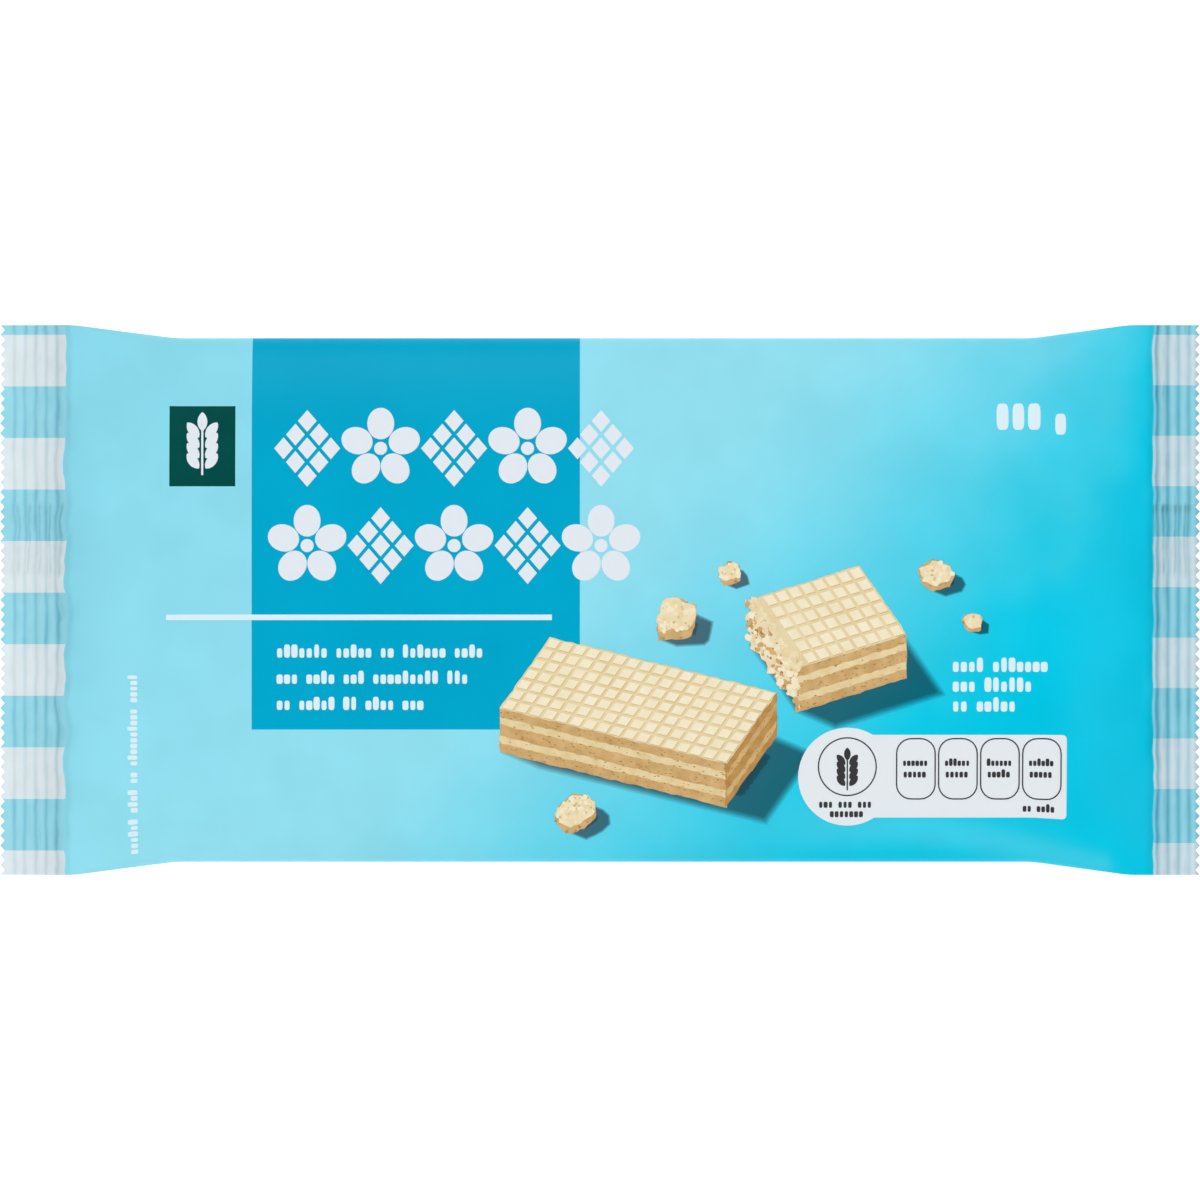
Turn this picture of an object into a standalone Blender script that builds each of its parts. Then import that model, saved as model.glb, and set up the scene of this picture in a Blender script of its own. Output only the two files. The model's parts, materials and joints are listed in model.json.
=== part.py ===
"""A shut flow wrap pack of wafer biscuits, lying on its back with the printed front up.

The pack is one tube of film, closed by a crimped seal across each end and by a fin along the
back. It can't be seen into, so it is one solid.

Frame: +X runs along the pack to the right of the front print, +Y across it towards the top of
the print, +Z out of the front. The origin lies on the surface that the pack rests on, under the
middle of its box. Lengths are in metres.
"""

import math

import bmesh
import bpy

MM = 0.001

# Overall sizes
LENGTH = 227.2 * MM
SEAL_WIDTH = 104.5 * MM
BODY_WIDTH = 99.5 * MM
FRONT_HEIGHT = 17.0 * MM

# End seals: each ends at a zigzag cut and begins at its root, where the film opens out
LEFT_ROOT_X = -101.7 * MM
RIGHT_ROOT_X = 105.0 * MM
SEAL_THICKNESS = 0.5 * MM
SEAL_PLANE_HEIGHT = 8.5 * MM
SEAL_DROOP = 1.0 * MM
SEAL_WAVE = 0.35 * MM
SEAL_WAVE_LENGTH = 62.0 * MM

# Crimp ribs, which run across the pack, parallel to the cut ends
RIB_PITCH = 2.02 * MM
RIB_DEPTH = 0.25 * MM
LEFT_RIBS = 5
RIGHT_RIBS = 4
FIRST_RIB_SETBACK = 0.5 * MM
STEPS_PER_RIB = 4

# Zigzag of the cut ends
TEETH = 56
TOOTH_DEPTH = 0.85 * MM

# The two lengths over which the pack widens towards its seals, as start and end in X
LEFT_FLARE = (-79.0 * MM, -101.7 * MM)
RIGHT_FLARE = (80.5 * MM, 102.0 * MM)

# Lengths over which the front rises and the back falls from a seal to their full height
FRONT_RAMP = 26.0 * MM
BACK_RAMP = 20.0 * MM
RAMP_POWER = 2.2

# Rounded shoulders along the sides: how far each reaches in from the pack's side
FRONT_SHOULDER = 32.0 * MM
BACK_SHOULDER = 25.0 * MM

# Shallow gathers of the film beside the seals: wave lengths across the pack, with their phases
GATHER_DEPTH = 0.3 * MM
GATHER_START = 3.0 * MM
GATHER_REACH = 9.0 * MM
FRONT_GATHERS = ((31.0 * MM, 0.4), (19.0 * MM, 2.1))
BACK_GATHERS = ((37.0 * MM, 1.3), (22.0 * MM, 4.0))

# Fin along the back, folded flat towards +Y: its fold, its free edge and where its step fades
FIN_FOLD_Y = 4.4 * MM
FIN_EDGE_Y = 18.4 * MM
FIN_FADE_Y = 24.5 * MM
FIN_STEP = 0.35 * MM
FIN_FOLD_DEPTH = 0.3 * MM
FIN_FOLD_HALF_WIDTH = 0.5 * MM
FIN_EDGE_WIDTH = 0.4 * MM
FIN_SEAL_BULGE = 0.2 * MM

# Spacing of the grid that the film is modelled on
RAMP_STEPS = 10
RAMP_STEP_GROWTH = 1.3
BODY_STEPS = 8
SHOULDER_STEPS = 7
FLAT_ROWS = (-17.5 * MM, -11.0 * MM, -4.0 * MM)
FIN_ROWS = (9.0 * MM, 13.5 * MM)

# Film: light blue print under a satin lacquer
FILM_COLOUR = (0.19, 0.66, 0.80, 1.0)
FILM_ROUGHNESS = 0.38
FILM_METALLIC = 0.0

# How far the uncut sheet runs past the zigzag, and how far the cutters run past the sheet
SPARE_END = 1.0 * MM
CUTTER_MARGIN = 6.0 * MM


def clear_scene() -> None:
    """Remove every object in the open scene."""
    for old in list(bpy.data.objects):
        bpy.data.objects.remove(old, do_unlink=True)


def new_collection(name: str) -> bpy.types.Collection:
    """Add a collection of this name to the scene and return it."""
    collection = bpy.data.collections.new(name)
    bpy.context.scene.collection.children.link(collection)
    return collection


def film_material() -> bpy.types.Material:
    """Return the material of the printed film."""
    material = bpy.data.materials.new("printed_film")
    material.use_nodes = True
    shader = material.node_tree.nodes["Principled BSDF"]
    shader.inputs["Base Color"].default_value = FILM_COLOUR
    shader.inputs["Roughness"].default_value = FILM_ROUGHNESS
    shader.inputs["Metallic"].default_value = FILM_METALLIC
    return material


def clamp(value: float) -> float:
    """Hold a value between 0 and 1."""
    return min(1.0, max(0.0, value))


def smooth(value: float) -> float:
    """Ease a value from 0 to 1."""
    t = clamp(value)
    return t * t * (3.0 - 2.0 * t)


def straight_ramp(value: float, rounding: float = 0.15) -> float:
    """Rise from 0 to 1 in a straight line whose two ends are rounded."""
    t = clamp(value)
    if t < rounding:
        rise = t * t / (2.0 * rounding)
    elif t > 1.0 - rounding:
        rise = 1.0 - rounding - (1.0 - t) ** 2 / (2.0 * rounding)
    else:
        rise = t - rounding / 2.0
    return rise / (1.0 - rounding)


def half_width(x: float) -> float:
    """Return half of the pack's width at x."""
    start, end = LEFT_FLARE if x < 0.0 else RIGHT_FLARE
    flare = straight_ramp((x - start) / (end - start))
    return (BODY_WIDTH + (SEAL_WIDTH - BODY_WIDTH) * flare) / 2.0


def row_y(x: float, row: float) -> float:
    """Return y on the film for a row, given as its y on the body, where the pack is x along."""
    spread = (abs(row) / (BODY_WIDTH / 2.0)) ** 4
    return row + math.copysign((half_width(x) - BODY_WIDTH / 2.0) * spread, row)


def inside_length(x: float) -> float:
    """Return how far x lies inside the nearer seal root, negative within a seal."""
    return min(x - LEFT_ROOT_X, RIGHT_ROOT_X - x)


def rise(x: float, ramp: float) -> float:
    """Return the share of its full height that the film has reached at x."""
    return 1.0 - (1.0 - clamp(inside_length(x) / ramp)) ** RAMP_POWER


def section(x: float, y: float, shoulder: float, opening: float) -> float:
    """Return the share of the height at x that the film keeps at y, from 1 to 0 at the side.

    The shoulder is a quarter ellipse. It takes up the whole half width beside a seal, where the
    tube has only begun to open, and narrows to its own size on the body.
    """
    side = half_width(x)
    reach = side + (shoulder - side) * smooth(opening)
    across = clamp((abs(y) - (side - reach)) / reach)
    return math.sqrt(max(0.0, 1.0 - across * across))


def gathers(x: float, y: float, waves: tuple) -> float:
    """Return the height of the film's gathers, which fade away from the seals and the sides."""
    inside = inside_length(x)
    if inside <= 0.0:
        return 0.0
    fade = math.exp(-inside / GATHER_REACH) * smooth(inside / GATHER_START)
    fade *= smooth((half_width(x) - abs(y)) / GATHER_REACH)
    fade *= 1.0 - smooth(inside / BACK_RAMP)
    waviness = sum(math.cos(math.tau * y / length + phase) for length, phase in waves)
    return GATHER_DEPTH * fade * waviness


def rib_start(x: float) -> float:
    """Return the x where the crimp ribs begin on the side of the pack that x lies on."""
    if x < 0.0:
        return LEFT_ROOT_X - FIRST_RIB_SETBACK
    return RIGHT_ROOT_X + FIRST_RIB_SETBACK


def rib_wave(x: float) -> float:
    """Return the height of the crimp ribs at x, with a groove in the middle of each pitch."""
    count = LEFT_RIBS if x < 0.0 else RIGHT_RIBS
    pitches = abs(x - rib_start(x)) / RIB_PITCH
    if abs(x) < abs(rib_start(x)) or pitches > count:
        return 0.0
    return RIB_DEPTH / 2.0 * (math.cos(math.tau * pitches) - 1.0)


def seal_height(x: float, y: float) -> float:
    """Return the height of the middle of the seal's thickness, also inside the pack."""
    outside = max(0.0, -inside_length(x))
    root_x = LEFT_ROOT_X if x < 0.0 else RIGHT_ROOT_X
    share = outside / (LENGTH / 2.0 - abs(root_x))
    wave = SEAL_WAVE * math.sin(math.tau * y / SEAL_WAVE_LENGTH + math.copysign(1.0, x))
    return SEAL_PLANE_HEIGHT - SEAL_DROOP * share + wave * share + rib_wave(x)


def front_height(x: float, y: float) -> float:
    """Return the height of the front film."""
    full = FRONT_HEIGHT - SEAL_PLANE_HEIGHT - SEAL_THICKNESS / 2.0
    lift = rise(x, FRONT_RAMP)
    bulge = full * lift * section(x, y, FRONT_SHOULDER, lift)
    return seal_height(x, y) + SEAL_THICKNESS / 2.0 + bulge + gathers(x, y, FRONT_GATHERS)


def fin_relief(x: float, y: float) -> float:
    """Return how far the back film is set in beside the fin, and let out over it in a seal."""
    if inside_length(x) <= 0.0:
        over_fin = FIN_FOLD_Y < y < FIN_EDGE_Y + FIN_EDGE_WIDTH / 2.0
        return -FIN_SEAL_BULGE if over_fin else 0.0
    if abs(y - FIN_FOLD_Y) < FIN_FOLD_HALF_WIDTH / 2.0:
        return FIN_FOLD_DEPTH
    if y < FIN_EDGE_Y + FIN_EDGE_WIDTH / 2.0:
        return 0.0
    return FIN_STEP * (1.0 - smooth((y - FIN_EDGE_Y) / (FIN_FADE_Y - FIN_EDGE_Y)))


def back_height(x: float, y: float) -> float:
    """Return the height of the back film, which lies flat on the ground plane on the body."""
    full = SEAL_PLANE_HEIGHT - SEAL_THICKNESS / 2.0
    lift = rise(x, BACK_RAMP)
    hang = full * (1.0 - lift * section(x, y, BACK_SHOULDER, lift))
    film = hang + seal_height(x, y) - SEAL_PLANE_HEIGHT + gathers(x, y, BACK_GATHERS)
    return max(0.0, film) + fin_relief(x, y)


def seal_columns(side: int, ribs: int) -> list[float]:
    """List the x of the grid's columns over one seal, from its ribs' start to past its cut.

    Args:
        side: -1 for the left seal, 1 for the right one.
        ribs: number of crimp ribs on the seal.

    Returns:
        The columns' places, going outwards.
    """
    start = rib_start(side)
    step = RIB_PITCH / STEPS_PER_RIB
    columns = [start + side * step * index for index in range(ribs * STEPS_PER_RIB + 1)]
    columns.append(side * (LENGTH / 2.0 + SPARE_END))
    return columns


def ramp_columns(side: int, root_x: float) -> list[float]:
    """List the x of the grid's columns over one ramp, from the seal's root inwards."""
    shares = [(index / RAMP_STEPS) ** RAMP_STEP_GROWTH for index in range(RAMP_STEPS + 1)]
    return [root_x - side * FRONT_RAMP * share for share in shares]


def grid_columns() -> list[float]:
    """List the x of all the grid's columns, from left to right."""
    left = seal_columns(-1, LEFT_RIBS) + ramp_columns(-1, LEFT_ROOT_X)
    right = seal_columns(1, RIGHT_RIBS) + ramp_columns(1, RIGHT_ROOT_X)
    body_start = LEFT_ROOT_X + FRONT_RAMP
    body_length = RIGHT_ROOT_X - FRONT_RAMP - body_start
    body = [body_start + body_length * index / BODY_STEPS for index in range(1, BODY_STEPS)]
    return sorted(left + body + right)


def grid_rows() -> list[float]:
    """List the y of all the grid's rows on the body, from the bottom of the print to its top."""
    side = BODY_WIDTH / 2.0
    turns = [math.pi / 2.0 * index / SHOULDER_STEPS for index in range(SHOULDER_STEPS + 1)]
    shoulder = [side - BACK_SHOULDER * (1.0 - math.sin(turn)) for turn in turns]
    fold = [FIN_FOLD_Y + FIN_FOLD_HALF_WIDTH * offset for offset in (-1.0, 0.0, 1.0)]
    edge = [FIN_EDGE_Y, FIN_EDGE_Y + FIN_EDGE_WIDTH]
    return sorted([-y for y in shoulder] + shoulder + list(FLAT_ROWS) + fold + list(FIN_ROWS) + edge)


def shape_film(mesh: bmesh.types.BMesh, columns: list[float], rows: list[float]) -> None:
    """Give a square slab of grid cells the form of the pack.

    Args:
        mesh: an empty mesh, filled with the closed form.
        columns: x of the grid's columns.
        rows: y of the grid's rows on the body.
    """
    column_steps = len(columns) - 1
    row_steps = len(rows) - 1
    bmesh.ops.create_grid(mesh, x_segments=column_steps, y_segments=row_steps, size=1.0)
    raised = bmesh.ops.extrude_face_region(mesh, geom=mesh.faces[:])
    front = {item for item in raised["geom"] if isinstance(item, bmesh.types.BMVert)}
    for vertex in mesh.verts:
        x = columns[round((vertex.co.x + 1.0) / 2.0 * column_steps)]
        y = row_y(x, rows[round((vertex.co.y + 1.0) / 2.0 * row_steps)])
        z = front_height(x, y) if vertex in front else back_height(x, y)
        vertex.co = (x, y, z)
    bmesh.ops.recalc_face_normals(mesh, faces=mesh.faces[:])
    bmesh.ops.triangulate(mesh, faces=mesh.faces[:])


def zigzag_cutter(name: str, side: int, collection: bpy.types.Collection) -> bpy.types.Object:
    """Model the block that trims one end of the pack to a zigzag.

    Args:
        name: name of the cutter.
        side: -1 for the left end, 1 for the right one.
        collection: collection that takes the cutter.

    Returns:
        The cutter, hidden from renders.
    """
    tip = side * LENGTH / 2.0
    valley = side * (LENGTH / 2.0 - TOOTH_DEPTH)
    far = side * (LENGTH / 2.0 + SPARE_END + CUTTER_MARGIN)
    half_pitch = SEAL_WIDTH / TEETH / 2.0
    edge = [(valley if index % 2 else tip, half_pitch * (index - TEETH)) for index in range(-1, 2 * TEETH + 2)]
    outline = [(far, edge[0][1])] + edge + [(far, edge[-1][1])]

    curve = bpy.data.curves.new(name, "CURVE")
    curve.dimensions = "2D"
    curve.fill_mode = "BOTH"
    curve.extrude = FRONT_HEIGHT
    spline = curve.splines.new("POLY")
    spline.points.add(len(outline) - 1)
    for point, (x, y) in zip(spline.points, outline):
        point.co = (x, y, 0.0, 1.0)
    spline.use_cyclic_u = True
    guide = bpy.data.objects.new(name + "_outline", curve)
    collection.objects.link(guide)

    bpy.context.view_layer.update()
    evaluated = guide.evaluated_get(bpy.context.evaluated_depsgraph_get())
    mesh = bpy.data.meshes.new_from_object(evaluated)
    bpy.data.objects.remove(guide, do_unlink=True)
    closed = bmesh.new()
    closed.from_mesh(mesh)
    bmesh.ops.remove_doubles(closed, verts=closed.verts[:], dist=0.001 * MM)
    bmesh.ops.recalc_face_normals(closed, faces=closed.faces[:])
    closed.to_mesh(mesh)
    closed.free()

    cutter = bpy.data.objects.new(name, mesh)
    cutter.hide_render = True
    cutter.display_type = "WIRE"
    collection.objects.link(cutter)
    return cutter


def build_pack() -> None:
    """Model the pack and trim both of its ends."""
    parts = new_collection("wafer_biscuit_pack")
    cutters = new_collection("cutters")

    form = bmesh.new()
    shape_film(form, grid_columns(), grid_rows())
    mesh = bpy.data.meshes.new("wafer_pack")
    form.to_mesh(mesh)
    form.free()
    mesh.materials.append(film_material())
    mesh.shade_smooth()
    mesh.set_sharp_from_angle(angle=math.radians(40.0))
    pack = bpy.data.objects.new("wafer_pack", mesh)
    parts.objects.link(pack)

    for name, side in (("left_cut", -1), ("right_cut", 1)):
        trim = pack.modifiers.new(name, "BOOLEAN")
        trim.operation = "DIFFERENCE"
        trim.solver = "EXACT"
        trim.object = zigzag_cutter(name, side, cutters)


clear_scene()
build_pack()
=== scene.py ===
"""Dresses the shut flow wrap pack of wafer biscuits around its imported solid.

The pack lies on its back. +X runs along it to the right of the front print, +Y towards the top of
the print, +Z out of the front. Film and inks are laid out flat, and one node group bends them all
into the pack, so the print always follows the film. Lengths are in metres, and those of flat
shapes and their places in millimetres.
"""

import json
import logging
import math
import random
from dataclasses import dataclass, field, fields, replace
from enum import Enum
from types import SimpleNamespace

import bmesh
import bpy
from bpy.types import Material, Mesh, Node, NodeSocket, NodeTree, Object
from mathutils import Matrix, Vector
from mathutils.geometry import convex_hull_2d, delaunay_2d_cdt

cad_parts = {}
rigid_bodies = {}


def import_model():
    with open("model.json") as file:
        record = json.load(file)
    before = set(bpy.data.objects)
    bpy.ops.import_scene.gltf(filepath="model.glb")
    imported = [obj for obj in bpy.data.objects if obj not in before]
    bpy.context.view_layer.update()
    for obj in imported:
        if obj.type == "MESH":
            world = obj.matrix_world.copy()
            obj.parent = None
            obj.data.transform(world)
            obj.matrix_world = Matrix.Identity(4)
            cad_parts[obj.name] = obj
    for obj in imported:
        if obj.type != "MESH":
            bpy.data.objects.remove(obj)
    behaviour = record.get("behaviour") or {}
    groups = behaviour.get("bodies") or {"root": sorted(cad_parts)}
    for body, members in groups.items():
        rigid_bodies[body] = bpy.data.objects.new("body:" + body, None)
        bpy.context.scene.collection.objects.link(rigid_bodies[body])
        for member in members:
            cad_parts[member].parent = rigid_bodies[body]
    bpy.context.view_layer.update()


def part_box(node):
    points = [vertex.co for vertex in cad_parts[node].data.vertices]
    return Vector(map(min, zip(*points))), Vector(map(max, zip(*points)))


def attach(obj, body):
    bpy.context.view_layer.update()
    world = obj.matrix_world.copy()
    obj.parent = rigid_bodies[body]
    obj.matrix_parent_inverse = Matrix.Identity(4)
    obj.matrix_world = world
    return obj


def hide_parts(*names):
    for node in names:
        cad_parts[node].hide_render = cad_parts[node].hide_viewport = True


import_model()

MM = 0.001
NODE = "wafer_pack"
# How far a printed shadow's rim dips under, and the zigzag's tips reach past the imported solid.
RIM_DIP = 0.04 * MM
TIP_REACH = 0.45 * MM
# Height over the film of the picture's shadows, in millimetres.
PICTURE_HEIGHT = 0.03
# The least distance between two grid lines of the film.
LEAST_GAP = 0.02 * MM
LOG = logging.getLogger("wafer_biscuit_pack")

Point = tuple[float, float]
Outline = list[Point]


def linear(colour: str) -> tuple[float, float, float, float]:
    """Turn an sRGB hex colour into linear light.

    Args:
        colour: six hex digits after a number sign.

    Returns:
        Red, green, blue and an alpha of 1.
    """
    values = [int(colour[start:start + 2], 16) / 255.0 for start in (1, 3, 5)]
    light = [v / 12.92 if v <= 0.04045 else ((v + 0.055) / 1.055) ** 2.4 for v in values]
    return light[0], light[1], light[2], 1.0


def add_node(tree: NodeTree, kind: str, inputs: dict | None = None, **settings: object) -> Node:
    """Add a node to a tree.

    Args:
        tree: the tree that takes the node.
        kind: the node's type.
        inputs: a value, a socket or a Field for each input, by its name or number.
        settings: values for the node's own properties.

    Returns:
        The new node.
    """
    node = tree.nodes.new(kind)
    for name, value in settings.items():
        setattr(node, name, value)
    for key, value in (inputs or {}).items():
        source = value.socket if isinstance(value, Field) else value
        if isinstance(source, NodeSocket):
            tree.links.new(source, node.inputs[key])
        else:
            node.inputs[key].default_value = source
    return node


@dataclass(frozen=True)
class Field:
    """A number that varies over a surface: arithmetic on it adds nodes to its tree."""

    tree: NodeTree
    socket: NodeSocket

    def through(self, operation: str, *terms: object) -> "Field":
        """Put this number, and up to two more, through an operation."""
        node = add_node(self.tree, "ShaderNodeMath", dict(enumerate((self, *terms))), operation=operation)
        return Field(self.tree, node.outputs[0])

    def __add__(self, other: object) -> "Field":
        """Add."""
        return self.through("ADD", other)

    def __sub__(self, other: object) -> "Field":
        """Subtract."""
        return self.through("SUBTRACT", other)

    def __rsub__(self, other: object) -> "Field":
        """Subtract from another number."""
        return self * -1.0 + other

    def __mul__(self, other: object) -> "Field":
        """Multiply."""
        return self.through("MULTIPLY", other)

    def __truediv__(self, other: object) -> "Field":
        """Divide."""
        return self.through("DIVIDE", other)

    def __pow__(self, other: object) -> "Field":
        """Raise to a power."""
        return self.through("POWER", other)

    def __abs__(self) -> "Field":
        """Drop the sign."""
        return self.through("ABSOLUTE")

    __radd__ = __add__
    __rmul__ = __mul__

    def share(self) -> "Field":
        """Hold the value between 0 and 1."""
        return self.through("MAXIMUM", 0.0).through("MINIMUM", 1.0)

    def eased(self, low: object, high: object) -> "Field":
        """Ease from 0 to 1.

        Args:
            low: the value up to which the result is 0.
            high: the value from which it is 1.

        Returns:
            The eased value.
        """
        spread = {0: self, 1: low, 2: high}
        node = add_node(self.tree, "ShaderNodeMapRange", spread, interpolation_type="SMOOTHSTEP")
        return Field(self.tree, node.outputs[0])

    def bell(self, reach: object) -> "Field":
        """Return 1 where the value is 0, fading away beyond the reach on both sides."""
        ratio = self / reach
        return (ratio * ratio * -1.0).through("EXPONENT")

    def mottle(self, other: object, seed: object, detail: float = 0.0) -> "Field":
        """Turn this number into smooth noise.

        Args:
            other: a second number that the noise varies with.
            seed: picks one noise out of many.
            detail: how many finer layers it has.

        Returns:
            The noise, mostly between -0.3 and 0.3.
        """
        spot = add_node(self.tree, "ShaderNodeCombineXYZ", {0: self, 1: other, 2: seed})
        settings = {"Vector": spot.outputs[0], "Scale": 1.0, "Detail": detail}
        noise = add_node(self.tree, "ShaderNodeTexNoise", settings)
        return Field(self.tree, noise.outputs[0]) - 0.5


def tree_with_inputs(
    name: str, numbers: dict[str, float], geometries: tuple = ("Geometry",)
) -> tuple[NodeTree, SimpleNamespace]:
    """Start a geometry tree that takes geometries and named numbers and gives a geometry.

    Args:
        name: name of the tree.
        numbers: default value for each named number.
        geometries: names of the geometries that it takes.

    Returns:
        The tree, and its inputs by name: a socket for each geometry, a Field for each number.
    """
    tree = bpy.data.node_groups.new(name, "GeometryNodeTree")
    tree.interface.new_socket("Geometry", in_out="OUTPUT", socket_type="NodeSocketGeometry")
    for label in geometries:
        tree.interface.new_socket(label, in_out="INPUT", socket_type="NodeSocketGeometry")
    for label, value in numbers.items():
        socket = tree.interface.new_socket(label, in_out="INPUT", socket_type="NodeSocketFloat")
        socket.default_value = value
    entry = add_node(tree, "NodeGroupInput")
    given = {label: entry.outputs[label] for label in geometries}
    given.update({label: Field(tree, entry.outputs[label]) for label in numbers})
    return tree, SimpleNamespace(**given)


def number_names(kind: object) -> list[str]:
    """List the fields of a dataclass that hold numbers."""
    return [item.name for item in fields(kind) if item.type in (float, int)]


def attribute(tree: NodeTree, name: str) -> Field:
    """Return the field of a named number that a geometry carries."""
    node = add_node(tree, "GeometryNodeInputNamedAttribute", {"Name": name}, data_type="FLOAT")
    return Field(tree, node.outputs[0])


def new_object(name: str, data: object) -> Object:
    """Bring an object into the scene.

    Args:
        name: its name.
        data: its mesh, light or camera.

    Returns:
        The object.
    """
    item = bpy.data.objects.new(name, data)
    bpy.context.scene.collection.objects.link(item)
    return item


def grow(name: str, source: Mesh, tree: NodeTree) -> Object:
    """Run a geometry tree on a mesh and keep the result as a plain mesh.

    Args:
        name: name of the piece.
        source: mesh that the tree starts from.
        tree: the geometry tree.

    Returns:
        The piece, with no modifier left on it.
    """
    piece = new_object(name, source)
    modifier = piece.modifiers.new(tree.name, "NODES")
    modifier.node_group = tree
    evaluated = piece.evaluated_get(bpy.context.evaluated_depsgraph_get())
    mesh = bpy.data.meshes.new_from_object(evaluated)
    piece.modifiers.remove(modifier)
    piece.data = mesh
    mesh.name = name
    return piece


def settle(piece: Object, sharp_angle: float) -> None:
    """Shade a piece, put it on the pack's body and hide the imported solid that it stands for.

    Args:
        piece: the finished piece.
        sharp_angle: angle in degrees past which an edge stays sharp.
    """
    piece.data.shade_smooth()
    piece.data.set_sharp_from_angle(angle=math.radians(sharp_angle))
    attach(piece, "root")
    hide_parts(NODE)
    LOG.info("%s: %d faces", piece.name, len(piece.data.polygons))


@dataclass(frozen=True)
class PackSizes:
    """Sizes that the film's form follows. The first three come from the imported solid."""

    length: float
    seal_width: float
    height: float
    body_width: float = 99.5 * MM
    left_root: float = -101.7 * MM
    right_root: float = 105.1 * MM
    seal_height: float = 8.5 * MM
    seal_droop: float = 1.0 * MM
    seal_wave: float = 0.35 * MM
    seal_wave_length: float = 62.0 * MM
    film_gap: float = 0.16 * MM
    rib_pitch: float = 2.02 * MM
    rib_depth: float = 0.28 * MM
    rib_groove: float = 0.34 * MM
    left_setback: float = 0.5 * MM
    right_setback: float = -0.22 * MM
    left_ribs: float = 5.0
    right_ribs: float = 4.0
    left_flare_start: float = -79.0 * MM
    left_flare_end: float = -101.7 * MM
    right_flare_start: float = 80.5 * MM
    right_flare_end: float = 102.0 * MM
    front_ramp: float = 26.0 * MM
    back_ramp: float = 20.0 * MM
    front_shoulder: float = 32.0 * MM
    back_shoulder: float = 25.0 * MM
    gather_depth: float = 0.3 * MM
    gather_reach: float = 9.0 * MM
    pucker_depth: float = 0.9 * MM
    root_wobble: float = 1.6 * MM
    crease_depth: float = 0.4 * MM
    fin_fold: float = 4.4 * MM
    fin_edge: float = 18.4 * MM
    fin_fade: float = 24.5 * MM
    fin_step: float = 0.35 * MM
    teeth: int = 56
    tooth_depth: float = 0.85 * MM

    @classmethod
    def of_solid(cls) -> "PackSizes":
        """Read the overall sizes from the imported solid, whose ends the zigzag reaches just past."""
        low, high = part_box(NODE)
        return cls(high[0] - low[0] + 2.0 * TIP_REACH, high[1] - low[1], high[2] - low[2])

    def at_seal(self, row: float) -> float:
        """Return Y in a seal of the film that lies at this Y on the body."""
        spread = (abs(row) * 2.0 / self.body_width) ** 4
        return row + math.copysign((self.seal_width - self.body_width) / 2.0 * spread, row)

    def row_of(self, y: float, rounds: int = 20) -> float:
        """Find the film that lies at a place in a seal.

        Args:
            y: the place, across the seal.
            rounds: how often the guess is made better.

        Returns:
            Y of the same film on the body.
        """
        row = y
        for _ in range(rounds):
            row += y - self.at_seal(row)
        return row

    def zigzag(self, y: float) -> float:
        """Return how far the zigzag cut lies inside its tips at this Y."""
        turn = (y + self.seal_width / 2.0) * self.teeth / self.seal_width
        return self.tooth_depth * (1.0 - abs(turn % 1.0 - 0.5) * 2.0)


@dataclass(frozen=True)
class Station:
    """A place on the film as its form sees it.

    inside is its distance from the nearest seal's root, side is half of the pack's width there, and
    middle is the height of the middle of the seals.
    """

    x: Field
    y: Field
    inside: Field
    side: Field
    middle: Field


@dataclass(frozen=True)
class CrimpWear:
    """How unevenly the hot jaws pressed their grooves, with faint second grooves between them."""

    slip: float = 0.7
    left_slip: float = 0.3
    fin_slip: float = 0.9
    slip_length: float = 8.0 * MM
    slip_drift: float = 3.0 * MM
    right_widening: float = 0.16
    pressure: float = 0.85
    pressure_change: float = 1.3
    pressure_length: float = 11.0 * MM
    second_place: float = 0.37
    second_width: float = 0.6
    second_length: float = 6.0 * MM
    second_chance: float = 0.08
    second_fin_chance: float = 0.22
    second_depth: float = 1.6
    second_most: float = 0.8
    fin_blur: float = 0.6 * MM


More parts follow.
